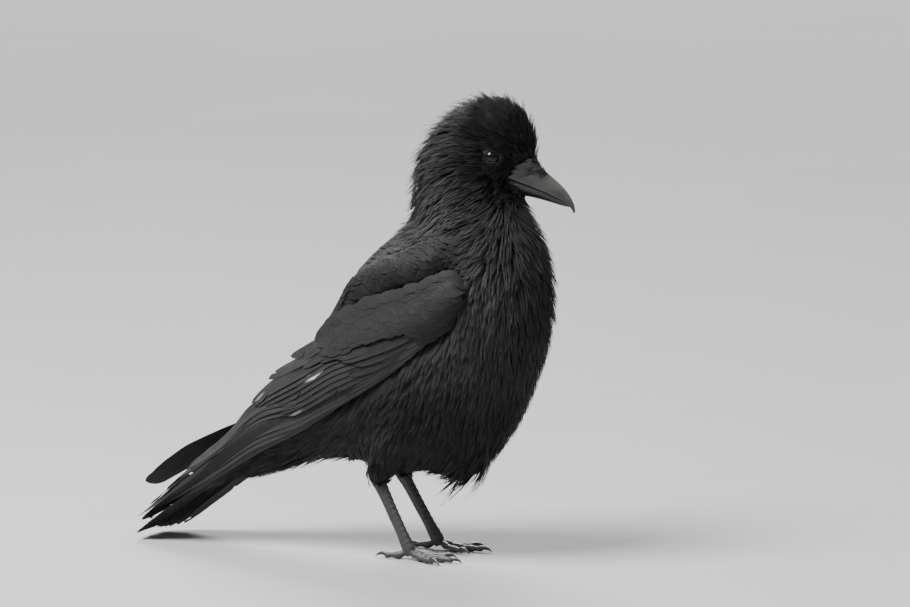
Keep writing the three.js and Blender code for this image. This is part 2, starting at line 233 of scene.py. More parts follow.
def blended(verts, tris, rounds):
    """Laplacian smoothing of a triangle mesh."""
    edges = np.concatenate([tris[:, [0, 1]], tris[:, [1, 2]], tris[:, [2, 0]]])
    edges = np.concatenate([edges, edges[:, ::-1]])
    count = np.bincount(edges[:, 0], minlength=len(verts))[:, None]
    verts = verts.copy()
    for _ in range(rounds):
        total = np.zeros_like(verts)
        for axis in range(3):
            total[:, axis] = np.bincount(edges[:, 0], verts[edges[:, 1], axis], len(verts))
        verts += 0.5 * (total / np.maximum(count, 1) - verts)
    return verts


def remeshed(nodes, voxel, rounds):
    """The nodes as one closed skin: joined, remeshed and smoothed."""
    verts, tris = solids(nodes)
    mesh = bpy.data.meshes.new("joined")
    mesh.from_pydata(verts.tolist(), [], tris.tolist())
    holder = bpy.data.objects.new("joined", mesh)
    bpy.context.collection.objects.link(holder)
    modifier = holder.modifiers.new("remesh", "REMESH")
    modifier.mode = "VOXEL"
    modifier.voxel_size = voxel
    verts, tris = mesh_arrays(holder.evaluated_get(bpy.context.evaluated_depsgraph_get()).to_mesh())
    bpy.data.objects.remove(holder)
    bpy.data.meshes.remove(mesh)
    return blended(verts, tris, rounds), tris


def lofted(rings):
    """Vertices of rings (n, sides, 3), closed at both ends on an added point, and their triangles."""
    count, sides = rings.shape[:2]
    verts = np.concatenate([rings.reshape(-1, 3), [rings[0].mean(0), rings[-1].mean(0)]])
    index = np.arange(count * sides).reshape(count, sides)
    beside = np.roll(index, -1, axis=1)
    a, b, c, d = index[:-1], beside[:-1], beside[1:], index[1:]
    first, last = np.full(sides, count * sides), np.full(sides, count * sides + 1)
    faces = [np.stack([a, b, c], -1).reshape(-1, 3), np.stack([a, c, d], -1).reshape(-1, 3),
             np.stack([beside[0], index[0], first], -1), np.stack([index[-1], beside[-1], last], -1)]
    return verts, np.concatenate(faces)


def capped(tone, end_tone):
    """The tones of a loft's rings, and of its two end points."""
    return np.append(tone.ravel(), [end_tone, end_tone])


# ---- Materials -----------------------------------------------------------------------------------


class Material:
    """A node material, with short ways to write the nodes that it needs."""

    def __init__(self, name, **sockets):
        self.data = bpy.data.materials.new(name)
        self.data.use_nodes = True
        self.nodes = self.data.node_tree.nodes
        self.links = self.data.node_tree.links
        self.shader = self.nodes["Principled BSDF"]
        for key, value in sockets.items():
            self.shader.inputs[key.replace("_", " ")].default_value = value

    def node(self, kind, **settings):
        node = self.nodes.new(kind)
        for key, value in settings.items():
            setattr(node, key, value)
        return node

    def link(self, out, into):
        self.links.new(out, into)

    def noise(self, scale, detail=4.0, roughness=0.6, stretch=(1, 1, 1)):
        place = self.node("ShaderNodeTexCoord")
        mapping = self.node("ShaderNodeMapping")
        mapping.inputs["Scale"].default_value = stretch
        self.link(place.outputs["Object"], mapping.inputs["Vector"])
        noise = self.node("ShaderNodeTexNoise")
        noise.inputs["Scale"].default_value = scale
        noise.inputs["Detail"].default_value = detail
        noise.inputs["Roughness"].default_value = roughness
        self.link(mapping.outputs["Vector"], noise.inputs["Vector"])
        return noise.outputs["Fac"]

    def attribute(self, name):
        return self.node("ShaderNodeAttribute", attribute_name=name).outputs["Fac"]

    def maths(self, operation, a, b=0):
        node = self.node("ShaderNodeMath", operation=operation)
        for socket, value in zip(node.inputs, (a, b)):
            if isinstance(value, (int, float)):
                socket.default_value = value
            else:
                self.link(value, socket)
        return node.outputs[0]

    def toned(self, noise, amount):
        """The piece's own tone, with this share of a noise round it."""
        return self.maths("ADD", self.attribute("tone"),
                          self.maths("MULTIPLY", self.maths("SUBTRACT", noise, 0.5), amount))

    def colour(self, factor, *stops):
        """Colours the surface through stops of (factor, colour), and gives that colour's socket."""
        ramp = self.node("ShaderNodeValToRGB")
        elements = ramp.color_ramp.elements
        while len(elements) < len(stops):
            elements.new(0.5)
        for element, (place, colour) in zip(elements, stops):
            element.position = place
            element.color = (*colour, 1)
        self.link(factor, ramp.inputs["Fac"])
        self.link(ramp.outputs["Color"], self.shader.inputs["Base Color"])
        return ramp.outputs["Color"]

    def roughness(self, least, noise, span):
        rough = self.maths("ADD", least, self.maths("MULTIPLY", noise, span))
        self.link(rough, self.shader.inputs["Roughness"])

    def bump(self, height, strength, distance):
        bump = self.node("ShaderNodeBump")
        bump.inputs["Strength"].default_value = strength
        bump.inputs["Distance"].default_value = distance
        self.link(height, bump.inputs["Height"])
        self.link(bump.outputs["Normal"], self.shader.inputs["Normal"])


def grey(level, blue=None):
    return level, level, blue or level


def feather_base(name, dark, light, roughness, sheen, shine):
    """What all plumage has: a tone between dark and light, and a patchy roughness; and its colour."""
    m = Material(name, Specular_IOR_Level=shine, Sheen_Weight=sheen, Sheen_Roughness=0.35)
    m.roughness(roughness - 0.08, m.noise(260, 2), 0.16)
    return m, m.colour(m.toned(m.noise(90, 3), 0.35), (0.0, dark), (1.0, light))


def plumage_material(name, dark, light, roughness, sheen, shine):
    """Skin and small feathers, with a fine grain."""
    m, _ = feather_base(name, dark, light, roughness, sheen, shine)
    m.bump(m.noise(1500, 2), 0.12, 0.0002)
    return m.data


FLECK_COLOUR = (0.42, 0.42, 0.41)
BARB_SPACING = 0.55


def flight_material(name, dark, light, roughness, shine):
    """Long feathers: barbs side by side along each web, and pale places on a few edges."""
    m, colour = feather_base(name, dark, light, roughness, 0.03, shine)
    pale_mix = m.node("ShaderNodeMix", data_type="RGBA")
    m.link(m.attribute("fleck"), pale_mix.inputs["Factor"])
    m.link(colour, pale_mix.inputs["A"])
    pale_mix.inputs["B"].default_value = (*FLECK_COLOUR, 1)
    m.link(pale_mix.outputs["Result"], m.shader.inputs["Base Color"])
    waves = m.maths("SINE", m.maths("MULTIPLY", m.attribute("barb"), 2 * math.pi / BARB_SPACING))
    m.bump(m.maths("ADD", m.maths("MULTIPLY", waves, 0.5), m.noise(1500, 2)), 0.22, 0.0002)
    return m.data


BODY_FEATHER = plumage_material("body_feather", grey(0.0012), grey(0.028, 0.0284), 0.60, 0.03, 0.20)
SMOOTH_FEATHER = plumage_material("smooth_feather", grey(0.004), grey(0.025, 0.0255), 0.70, 0.03, 0.16)
SKIN = plumage_material("skin", grey(0.0015), grey(0.008), 0.80, 0.0, 0.1)
BRISTLE = plumage_material("bristle", grey(0.006), (0.11, 0.108, 0.105), 0.45, 0.05, 0.3)
SLEEK_FEATHER = flight_material("sleek_feather", grey(0.0025), grey(0.038, 0.0386), 0.52, 0.26)
DUSKY_FEATHER = flight_material("dusky_feather", grey(0.0025), grey(0.034, 0.0346), 0.72, 0.09)


def bill_material():
    """Horn with long streaks and small scuffs."""
    m = Material("bill", Specular_IOR_Level=0.55, Coat_Weight=0.15, Coat_Roughness=0.25)
    m.colour(m.toned(m.noise(220, 4, 0.6, (0.35, 0.35, 1)), 0.5),
             (0.0, grey(0.006)), (0.5, (0.052, 0.051, 0.050)), (1.0, (0.17, 0.165, 0.16)))
    m.roughness(0.27, m.noise(700, 3, 0.7, (0.5, 0.5, 1)), 0.22)
    m.bump(m.noise(900, 4, 0.7, (0.4, 0.4, 1)), 0.25, 0.0003)
    return m.data


def eye_material():
    """A wet eye: its tone is 0 in the pupil, and the iris has fine fibres."""
    m = Material("eye", Specular_IOR_Level=0.32)
    fibres = m.maths("MULTIPLY", m.maths("SUBTRACT", m.noise(1400, 3), 0.5), 0.5)
    m.colour(m.maths("ADD", m.attribute("tone"), m.maths("MULTIPLY", fibres, m.attribute("tone"))),
             (0.0, grey(0.0015)), (0.5, (0.006, 0.005, 0.0045)), (1.0, (0.03, 0.024, 0.02)))
    m.roughness(0.03, m.noise(300, 2), 0.03)
    m.bump(m.noise(500, 2), 0.02, 0.0001)
    return m.data


def lid_material():
    """Bare grainy skin, pale on the rims and in a few specks."""
    m = Material("lids", Specular_IOR_Level=0.16)
    grain = m.noise(900, 4, 0.7)
    m.colour(m.maths("MULTIPLY", m.attribute("tone"), m.maths("ADD", grain, 0.5)),
             (0.0, grey(0.002)), (1.0, (0.12, 0.117, 0.114)))
    m.roughness(0.32, grain, 0.25)
    m.bump(m.noise(1600, 4, 0.7), 0.5, 0.0003)
    return m.data


def scale_material():
    """The legs' horny scales, with small cells between the modelled plates."""
    m = Material("leg_scales", Specular_IOR_Level=0.5)
    grain = m.noise(600, 4, 0.65)
    m.colour(m.toned(grain, 0.45),
             (0.0, grey(0.008)), (0.5, (0.035, 0.034, 0.033)), (1.0, (0.11, 0.108, 0.10)))
    m.roughness(0.34, grain, 0.26)
    cells = m.node("ShaderNodeTexVoronoi", feature="DISTANCE_TO_EDGE")
    cells.inputs["Scale"].default_value = 900
    m.link(m.node("ShaderNodeTexCoord").outputs["Object"], cells.inputs["Vector"])
    m.bump(cells.outputs["Distance"], 0.35, 0.0004)
    return m.data


def claw_material():
    """Smooth dark horn."""
    m = Material("claw", Specular_IOR_Level=0.5, Coat_Weight=0.2, Coat_Roughness=0.2)
    grain = m.noise(500, 3)
    m.colour(m.toned(grain, 0.4), (0.0, grey(0.006)), (1.0, (0.06, 0.058, 0.055)))
    m.roughness(0.22, grain, 0.2)
    m.bump(m.noise(1200, 3), 0.2, 0.0002)
    return m.data


# ---- The lie of the coat -------------------------------------------------------------------------

# Each row: where on the bird's right half, which way the coat lies there, the feathers' length and half
# width, how far their tips stand off (as a share of length), the coat's depth, the spacing of the roots
# and the kind of feather. Rows of the head are in the head's frame; each is mirrored to the left.
HEAD_COAT = {
    "forehead": ((50, 0, 318), (-0.35, 0, 0.95), 8, 0.9, 0.26, 1.4, 1.15, "hair"),
    "brow_front": ((42, -14, 318), (-0.65, -0.05, 0.8), 7.5, 0.85, 0.12, 2.0, 1.1, "hair"),
    "fore_crown": ((44, 0, 336), (-0.45, 0, 0.9), 10, 0.95, 0.34, 3.2, 1.15, "hair"),
    "crown": ((22, 0, 350), (-0.85, 0, 0.4), 10.5, 1.0, 0.32, 4.4, 1.2, "hair"),
    "crown_side": ((25, -18, 336), (-0.6, -0.05, 0.75), 11, 1.05, 0.16, 3.0, 1.25, "hair"),
    "hind_crown": ((-3, 0, 344), (-0.95, 0, 0.0), 12.5, 1.1, 0.30, 4.4, 1.3, "hair"),
    "temple": ((8, -22, 325), (-0.85, 0, 0.35), 11, 1.1, 0.08, 3.0, 1.35, "hair"),
    "over_eye": ((22, -20, 316), (-0.95, 0, 0.25), 7, 0.85, 0.04, 2.0, 1.1, "hair"),
    "lores": ((40, -12, 305), (-0.8, -0.2, 0.35), 5, 0.75, 0.10, 1.6, 1.0, "hair"),
    "behind_eye": ((5, -24, 308), (-1, 0, -0.05), 10, 1.0, 0.06, 3.0, 1.3, "hair"),
    "cheek": ((24, -19, 294), (-0.95, 0, -0.3), 9, 0.95, 0.08, 2.6, 1.25, "hair"),
    "gape": ((36, -14, 288), (-0.85, 0, -0.45), 6, 0.8, 0.10, 2.2, 1.05, "hair"),
    "chin": ((50, 0, 280), (-0.35, 0, -0.95), 10, 0.9, 0.18, 1.6, 1.2, "hair"),
    "malar": ((30, -20, 280), (-0.75, 0, -0.65), 11, 1.15, 0.09, 3.2, 1.35, "hair"),
    "nape_top": ((-20, 0, 331), (-0.8, 0, -0.6), 14.5, 1.2, 0.32, 4.8, 1.4, "hair"),
    "nape": ((-31, 0, 312), (-0.55, 0, -0.85), 16, 1.3, 0.30, 5.6, 1.5, "hair"),
    "nape_side": ((-18, -20, 305), (-0.95, 0, -0.35), 15, 1.25, 0.16, 4.5, 1.5, "hair"),
    "low_nape": ((-38, 0, 288), (-0.4, 0, -0.9), 17, 1.4, 0.16, 6.6, 1.65, "hair"),
    "neck_side": ((-5, -31, 284), (-0.8, 0, -0.6), 17, 1.5, 0.11, 5.0, 1.65, "hair"),
    "throat": ((48, 0, 268), (-0.1, 0, -1), 15, 1.5, 0.15, 4.0, 1.6, "hackle"),
    "throat_side": ((28, -26, 268), (-0.4, 0, -0.9), 17, 1.7, 0.16, 5.0, 1.75, "hackle"),
}
BODY_COAT = {
    "hind_neck": ((-3, 0, 262), (-0.5, 0, -0.8), 20, 1.9, 0.06, 7.0, 1.9, "hackle"),
    "neck_flank": ((20, -38, 258), (-0.45, 0, -0.88), 20, 1.9, 0.09, 6.0, 1.9, "hackle"),
    "fore_neck": ((88, -5, 250), (-0.05, 0, -1), 20, 1.9, 0.13, 6.0, 1.9, "hackle"),
    "upper_breast": ((102, -10, 215), (-0.05, 0, -1), 25, 2.3, 0.09, 7.0, 2.2, "hackle"),
    "breast": ((103, -10, 170), (-0.05, 0, -1), 28, 2.7, 0.07, 8.0, 2.5, "contour"),
    "breast_side": ((70, -46, 190), (-0.10, 0, -1), 26, 2.5, 0.05, 7.0, 2.35, "contour"),
    "low_breast": ((88, -8, 122), (-0.2, 0, -0.98), 32, 2.8, 0.07, 9.5, 2.6, "contour"),
    "belly_side": ((45, -50, 120), (-0.25, 0, -0.96), 30, 2.9, 0.05, 8.0, 2.7, "contour"),
    "belly_front": ((66, -12, 84), (-0.18, 0, -0.98), 40, 2.6, 0.22, 8.5, 2.6, "shag"),
    "belly": ((25, -18, 66), (-0.62, 0, -0.72), 22, 2.6, 0.09, 8.0, 2.6, "shag"),
    "flank": ((0, -50, 105), (-0.5, 0, -0.85), 30, 2.9, 0.05, 7.0, 2.7, "contour"),
    "rear_flank": ((-50, -42, 88), (-0.85, 0, -0.5), 30, 3.0, 0.05, 7.0, 2.8, "contour"),
    "vent": ((-75, -15, 66), (-0.95, 0, -0.25), 30, 3.0, 0.06, 7.0, 2.8, "shag"),
    "undertail": ((-118, -8, 53), (-0.93, 0, -0.36), 38, 3.8, 0.06, 4.0, 3.0, "contour"),
    "tail_cover": ((-150, -8, 56), (-0.85, 0, -0.52), 40, 4.6, 0.01, 5.0, 3.1, "contour"),
    "mantle": ((-14, 0, 251), (-0.7, 0, -0.72), 23, 3.8, 0.04, 6.0, 2.9, "vane"),
    "back": ((-45, 0, 220), (-0.6, 0, -0.8), 26, 5.4, 0.03, 6.0, 3.6, "vane"),
    "low_back": ((-78, 0, 170), (-0.62, 0, -0.78), 26, 5.8, 0.03, 6.0, 3.9, "vane"),
    "rump": ((-108, 0, 123), (-0.7, 0, -0.7), 28, 5.4, 0.04, 5.0, 3.6, "vane"),
    "uppertail": ((-140, 0, 84), (-0.85, 0, -0.52), 34, 6.0, 0.02, 4.0, 4.0, "vane"),
    "shoulder": ((28, -44, 241), (-0.86, 0, -0.40), 20, 3.8, 0.03, 5.0, 2.9, "vane"),
    "scapular_top": ((-10, -34, 238), (-0.88, 0, -0.45), 27, 6.4, 0.03, 5.0, 4.3, "vane"),
    "scapular": ((-30, -40, 208), (-0.90, 0, -0.42), 30, 7.6, 0.03, 5.0, 4.9, "vane"),
    "scapular_low": ((10, -46, 222), (-0.95, 0, -0.30), 25, 5.6, 0.03, 4.5, 3.8, "vane"),
    "scapular_end": ((-65, -32, 178), (-0.75, 0, -0.66), 30, 7.0, 0.02, 4.5, 4.6, "vane"),
    "thigh_front": ((-6, -25, 74), (-0.62, 0, -0.78), 18, 1.7, 0.05, 4.0, 1.75, "hair"),
    "thigh_outer": ((-20, -42, 84), (-0.20, 0.35, -0.92), 21, 1.9, 0.05, 5.0, 1.9, "hair"),
    "thigh_inner": ((-20, -12, 74), (-0.20, -0.45, -0.87), 16, 1.8, 0.06, 3.0, 1.9, "hair"),
    "thigh_rear": ((-38, -27, 82), (0.12, 0, -0.99), 22, 1.8, 0.12, 3.0, 1.75, "hair"),
    "ankle": ((-28, -25, 66), (0.05, 0, -1), 15, 1.0, 0.08, 1.4, 1.1, "hair"),
}
# How much lighter or darker the coat is there than elsewhere: rows that are not named are 0.
# Partly the plumage's own tone, as the belly is duller, and mostly painted light and shade: painted light on
# the throat, neck and crown, and painted shade on the belly, vent, thighs and the scapulars' lower edge.
COAT_TONE_AND_PAINTED_LIGHT = {
    "throat": 0.56, "throat_side": 0.50, "fore_neck": 0.44, "neck_flank": 0.46, "hind_neck": 0.02,
    "upper_breast": 0.36, "neck_side": 0.68, "nape": -0.08, "nape_top": -0.10, "low_nape": -0.10,
    "nape_side": 0.14, "cheek": -0.10, "malar": -0.02, "lores": -0.15, "gape": -0.10, "crown": 0.50,
    "fore_crown": 0.50, "hind_crown": 0.24, "crown_side": 0.04, "breast": 0.26, "breast_side": 0.26,
    "low_breast": -0.24, "belly_side": -0.26, "belly_front": -0.28, "belly": -0.34, "flank": -0.14,
    "rear_flank": -0.18, "vent": -0.26, "undertail": -0.26, "tail_cover": -0.22, "thigh_outer": -0.12,
    "thigh_front": -0.14, "thigh_inner": -0.24, "scapular_low": -0.22, "scapular": -0.10,
    "scapular_end": -0.10, "shoulder": 0.02, "back": -0.02, "mantle": -0.08,
}
# Where the body turns away, how much the feathers keep straight on: rows that are not named are 0.
LOOSE = {
    "belly_front": 0.85, "low_breast": 0.25, "belly": 0.45, "ankle": 0.95, "thigh_rear": 0.8,
    "thigh_outer": 0.7, "thigh_front": 0.6, "thigh_inner": 0.6, "nape": 0.35, "nape_top": 0.35,
    "low_nape": 0.25, "hind_crown": 0.3, "crown": 0.2, "throat": 0.3, "throat_side": 0.3, "chin": 0.3,
    "undertail": 0.2, "vent": 0.25,
}
LENGTH, HALF_WIDTH, LIFT, DEPTH, SPACING, TONE_AND_PAINTED_LIGHT, LOOSENESS = range(7)  # columns of NUMBERS
KINDS = ["hair", "hackle", "contour", "shag", "vane"]
SOFTNESS = 9 * MM  # how softly one row of the tables blends into the next
BATCH = 4000  # points at a time


def coat_anchors():
    """The tables' rows on both halves: places in metres, flows, numbers, kinds and names."""
    anchors = []
    for table, place_of, turn in ((HEAD_COAT, head_place, head_turned), (BODY_COAT, body_place, np.asarray)):
        for name, (place, flow, *sizes, kind) in table.items():
            numbers = [*sizes, COAT_TONE_AND_PAINTED_LIGHT.get(name, 0.0), LOOSE.get(name, 0.0)]
            for side in (1, -1) if place[1] else (1,):
                mirror = np.array([1, side, 1.0])
                anchors.append((place_of(place * mirror), unit(turn(flow * mirror)), numbers,
                                KINDS.index(kind), name))
    return [np.array(column) for column in zip(*anchors)]


ANCHORS, FLOWS, NUMBERS, ANCHOR_KINDS, ANCHOR_NAMES = coat_anchors()


def coat_at(points):
    """At each point: the way the coat lies, its numbers from the tables, and the strongest row."""
    found = []
    for start in range(0, len(points), BATCH):
        gap = points[start:start + BATCH, None] - ANCHORS
        weights = ((gap**2).sum(-1) + SOFTNESS**2) ** -2.2
        weights /= weights.sum(1, keepdims=True)
        found.append((weights @ FLOWS, weights @ NUMBERS, weights.argmax(1)))
    return [np.concatenate(column) for column in zip(*found)]


# ---- Skin ----------------------------------------------------------------------------------------

FLESH = ["head", "neck", "trunk", "thigh_left", "thigh_right", "wing_left_coverts", "wing_right_coverts"]
FLIGHT = {side: [f"wing_{side}_secondaries", f"wing_{side}_primaries"] for side in SIDES}
WINGS = {side: [f"wing_{side}_coverts", *FLIGHT[side]] for side in SIDES}
HEAD_ENDS = ["eye_left", "eye_right", "bill_upper", "bill_lower"]
FORM_VOXEL = 2.4 * MM
SKIN_VOXEL = 2.2 * MM
SKIN_SINK = 0.9  # the skin lies this share of the coat's depth under the outline

# How wide the head is left at the corner of the mouth, from the cheek to the bill: (ahead, half width).
GAPE_WIDTH = ((27, 20.0), (31, 14.6), (34, 13.0), (38, 11.7), (43, 10.6), (51, 9.2), (56, 9.0))
GAPE_FROM = 20.0  # ahead of the neck's axis
GAPE_HEIGHT, GAPE_SPREAD = 287.0, 7.0
# The crown is rounded across from this height up, as a half ellipse of this height and half width.
CROWN_FROM, CROWN_HEIGHT, CROWN_WIDTH = 320.0, 31.0, 22.0
CROWN_SHARE = 0.85
# The scapulars' swell and, below it, the fold between them and the folded wing: how far they stand out,
# how far over the wing's upper edge they are, and how wide they spread.
SWELL, SWELL_ABOVE, SWELL_SPREAD = 6.5, 16.0, 11.0
GROOVE, GROOVE_ABOVE, GROOVE_SPREAD = 2.5, 1.5, 3.0
# The dark hollow in front of the scapulars, over the wing's bend: (x, z), depth and spread.
HOLLOW_AT, HOLLOW_DEPTH, HOLLOW_SPREAD = (46.0, 225.0), 3.5, 6.5
# The folded wing's outline from the side, (x, z), for the right wing; the left one is swung up at its tip.
WING_LOWER = ((57, 206), (54, 199), (46, 184), (20, 163), (-12, 139), (-46, 119), (-82, 97.5), (-124, 77.5),
              (-168, 50), (-217, 20), (-232, 12))
WING_UPPER = ((58, 215), (53, 223.5), (47.5, 225), (38, 222), (26, 216), (11, 210), (0, 207), (-12, 203),
              (-25, 198.5), (-33, 194), (-49, 188.5), (-82, 162), (-114, 139), (-134, 117), (-153, 89),
              (-176, 67), (-206, 39), (-232, 16))


def wing_edge(table, x):
    """The height of an edge of the wing at x, with the table's corners rounded."""
    table = np.array(table[::-1], float)
    return np.mean([np.interp(x + d, table[:, 0], table[:, 1]) for d in np.linspace(-5, 5, 9)], axis=0)


def with_scapulars(verts, normals):
    """The joined solids' skin with the scapulars' swell, the fold under it and the hollow before it."""
    x, y, z = in_body(verts).T
    above = z - wing_edge(WING_UPPER, x)
    window = eased(x, -72, -38) * eased(x, 52, 34)
    beside = eased(np.abs(y), 18, 32)
    swell = SWELL * window * beside * bell(above - SWELL_ABOVE, SWELL_SPREAD)
    swell -= GROOVE * window * beside * bell(above - GROOVE_ABOVE, GROOVE_SPREAD)
    swell[above < -2] = 0
    gap = np.hypot(x - HOLLOW_AT[0], z - HOLLOW_AT[1])
    hollow = HOLLOW_DEPTH * beside * bell(gap, HOLLOW_SPREAD)
    return verts + normals * ((swell - hollow) * MM)[:, None]


def narrowed(local, half_width, share):
    """Brings head places in sideways, by a share of how far they are past the half width."""
    over = np.clip(np.abs(local[:, 1]) - half_width, 0, None) * share
    local[:, 1] -= np.sign(local[:, 1]) * over


def shaped(verts, normals):
    """The joined solids' skin with the scapulars, a narrow gape and a round crown."""
    local = in_head(with_scapulars(verts, normals))
    widest = np.interp(local[:, 0], *zip(*GAPE_WIDTH))
    level = np.exp(-(((local[:, 2] - GAPE_HEIGHT) / GAPE_SPREAD) ** 4))
    narrowed(local, widest, level * (local[:, 0] > GAPE_FROM))
    rise = np.clip((local[:, 2] - CROWN_FROM) / CROWN_HEIGHT, 0, 0.98)
    narrowed(local, CROWN_WIDTH * np.sqrt(1 - rise**2), CROWN_SHARE * (rise > 0))
    return head_place(local)


def whole_form():
    """The bird's outline as one surface, which the coat is laid on."""
    verts, tris = remeshed(FLESH + FLIGHT["left"] + FLIGHT["right"] + HEAD_ENDS + ["tail"], FORM_VOXEL, 6)
    return Surface(shaped(verts, Surface(verts, tris).normals), tris)


form = whole_form()
tail_form = Surface(*solids(["tail"]))
wings = Surface(*solids(WINGS["left"] + WINGS["right"]))


def make_skin():
    """The dark skin under the coat."""
    verts, tris = remeshed(FLESH + HEAD_ENDS, SKIN_VOXEL, 5)
    normals = Surface(verts, tris).normals
    _, numbers, _ = coat_at(verts)
    sunk = shaped(verts, normals) - normals * (numbers[:, DEPTH, None] * MM * SKIN_SINK)
    # The skin takes the coat's tone, with its painted light and shade.
    skin = new_piece("skin", blended(sunk, tris, 4), tris, SKIN, 0.3 + numbers[:, TONE_AND_PAINTED_LIGHT])
    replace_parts(skin, *FLESH)


make_skin()

# ---- Bill ----------------------------------------------------------------------------------------

# The bill in the head's frame: (ahead, up) of its upper and lower edge, and its half width.
UPPER_BILL = ((30.0, 306.0, 29.0, 291.4, 12.6), (36.0, 307.0, 35.0, 290.7, 12.0),
              (43.5, 305.8, 42.0, 287.9, 10.6), (51, 303.0, 48.5, 285.4, 9.2),
              (57.5, 299.2, 55.0, 282.7, 8.0), (64.0, 293.6, 61.5, 279.9, 6.9),
              (70.0, 288.2, 67.5, 276.9, 5.7), (75.5, 282.8, 73.2, 273.8, 4.5),
              (80.0, 276.8, 77.6, 270.5, 3.2), (82.8, 271.2, 80.8, 267.4, 1.9),
              (84.2, 265.0, 82.8, 263.0, 0.7))
LOWER_BILL = ((29.0, 291.2, 29.0, 281.4, 12.0), (35.0, 290.2, 35.0, 280.4, 11.2), (45, 287.0, 43, 277.8, 9.0),
              (56, 282.6, 55, 275.0, 7.0), (67, 277.4, 66.6, 271.7, 4.9), (74, 273.6, 73.4, 269.6, 3.1),
              (79.6, 269.6, 79.6, 268.2, 1.0))
# Half sections from the underside's middle, by the edge, to the ridge: shares of half width and height.
UPPER_SECTION = ((0, 0.10), (0.5, 0.08), (0.86, 0.03), (1.0, -0.01), (1.015, 0.06), (0.99, 0.22),
                 (0.93, 0.42), (0.83, 0.60), (0.66, 0.77), (0.44, 0.90), (0.21, 0.975), (0, 1.0))
LOWER_SECTION = ((0, 0.0), (0.40, 0.05), (0.70, 0.20), (0.88, 0.44), (0.97, 0.70), (0.985, 0.93), (0.93, 1.0),
                 (0.6, 0.94), (0.3, 0.90), (0, 0.88))
GAPE_TONE, GAPE_REACH = 0.40, 0.27  # the corner of the mouth is paler, over this share of the bill
BILL_RINGS = 110
HALF_RING = 26


def make_bill_part(name, stations, section, node, lit_ridge_tone, shaded_low_tone):
    """One half of the bill, lofted through its stations. Gives its vertices and triangles."""
    rows = curve_through(stations, BILL_RINGS)
    half = curve_through(np.pad(np.array(section), ((0, 0), (0, 1))), HALF_RING)[:, :2]
    ring = np.concatenate([half, half[-2:0:-1] * [-1, 1]])
    out, up = ring.T[:, None]
    top, low, width = rows[:, None, 0:2], rows[:, None, 2:4], rows[:, None, 4]
    spot = low + (top - low) * up[..., None]
    verts, faces = lofted(head_place(np.stack([spot[..., 0], out * width, spot[..., 1]], -1)))
    along = np.linspace(0, 1, BILL_RINGS)[:, None]
    # The top is painted lighter and the underside darker: a painted highlight along the ridge, painted shade
    # below.
    tone = shaded_low_tone + (lit_ridge_tone - shaded_low_tone) * np.abs(up - 0.12) ** 1.1
    tone = tone + 0.10 * np.sin(along * np.pi) + 0.15 * np.clip(along - 0.75, 0, 1)
    tone = tone + GAPE_TONE * bell(along, GAPE_REACH) * (0.6 + 0.4 * np.sin(up * 40 + along * 30))
    piece = new_piece(name, verts, faces, bill_look, capped(tone, shaded_low_tone))
    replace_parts(piece, node)
    return mesh_arrays(piece.data)


bill_look = bill_material()
bill_surface = Surface(*joined([
    make_bill_part("bill_above", UPPER_BILL, UPPER_SECTION, "bill_upper", 0.74, 0.32),
    make_bill_part("bill_below", LOWER_BILL, LOWER_SECTION, "bill_lower", 0.12, -0.20),
]))

# The tuft over the nostrils, in the head's frame: how far ahead, and its lower and upper edge there.
TUFT = ((35.5, 292.5, 297.0), (38, 292.5, 300.5), (42, 292.0, 303.0), (47, 291.5, 305.5), (53, 291.5, 307.0))
TUFT_FRONT = 59.5  # how far ahead the bristles' tips reach


def in_tuft(places):
    """Whether the bristles over the nostrils are rooted there."""
    x, _, z = in_head(places).T
    ahead, low, high = np.array(TUFT).T
    return (x > ahead[0]) & (x < ahead[-1]) & (z > np.interp(x, ahead, low)) & (z < np.interp(x, ahead, high))


# ---- Small feathers ------------------------------------------------------------------------------

# How fast a feather's outline opens, and from what half width; how late it narrows, and how bluntly.
OUTLINES = {
    "hair": (2.2, 0.25, 1.0, 0.75),
    "hackle": (2.0, 0.2, 1.6, 0.9),
    "contour": (1.8, 0.2, 3.0, 0.75),
    "shag": (1.8, 0.25, 1.4, 0.8),
    "vane": (1.6, 0.25, 4.5, 0.6),
}
BARBS = {"hair": 5, "hackle": 8, "contour": 9, "shag": 9}
JOINED = {"hair": 0.30, "hackle": 0.40, "contour": 0.35, "shag": 0.25}  # the web is joined out to here
REACH = {"hair": 0.30, "hackle": 0.24, "contour": 0.20, "shag": 0.30}  # how far barbs sweep on
CROWN = {"hair": 0.30, "hackle": 0.26, "contour": 0.18, "shag": 0.25, "vane": 0.07}  # how round the web is
ROLL = {"hair": 0.30, "hackle": 0.12, "contour": 0.07, "shag": 0.28, "vane": 0.04}  # radians about the shaft
CURL = {"hair": 0.09, "hackle": 0.06, "contour": 0.045, "shag": 0.10, "vane": 0.02}  # sideways, of the length
PULL = {"hair": 0.60, "hackle": 0.34, "contour": 0.14, "shag": 0.60, "vane": 0.0}  # into locks
LOCK_LIFT = {"hair": 0.55, "hackle": 0.30, "contour": 0.15, "shag": 0.5, "vane": 0.05}
VANE_COLUMNS = np.array([-1, -0.6, 0, 0.6, 1])
VANE_ROWS = 9
STATIONS = 5  # places at which a small feather follows the body
ROOM = 0.78  # of the spacing is kept free round a root
LOCK_SIZE = 7  # feathers to a lock
LONGEST_PULL = 0.30  # of a feather's length
RAISED = 0.32  # share of the locks that stand up from the rest
TUFT_PATCH = 0.003  # a small feather's size on the OFBake map
# The line through the bird, from the tail's end to the crown, that its small feathers are unwrapped round.
MIDDLE_LINE = ((-240, 0, 20), (-150, 0, 62), (-60, 0, 125), (25, 0, 150), (45, 0, 230), (38, 0, 285),
               (45, 5, 345))


def outline_of(kind, s):
    """A feather's half width along its length, at most 1."""
    s = np.clip(s, 0, 1)
    opening, least, late, blunt = OUTLINES[kind]
    return np.minimum(1, opening * s + least) * (1 - s**late) ** blunt


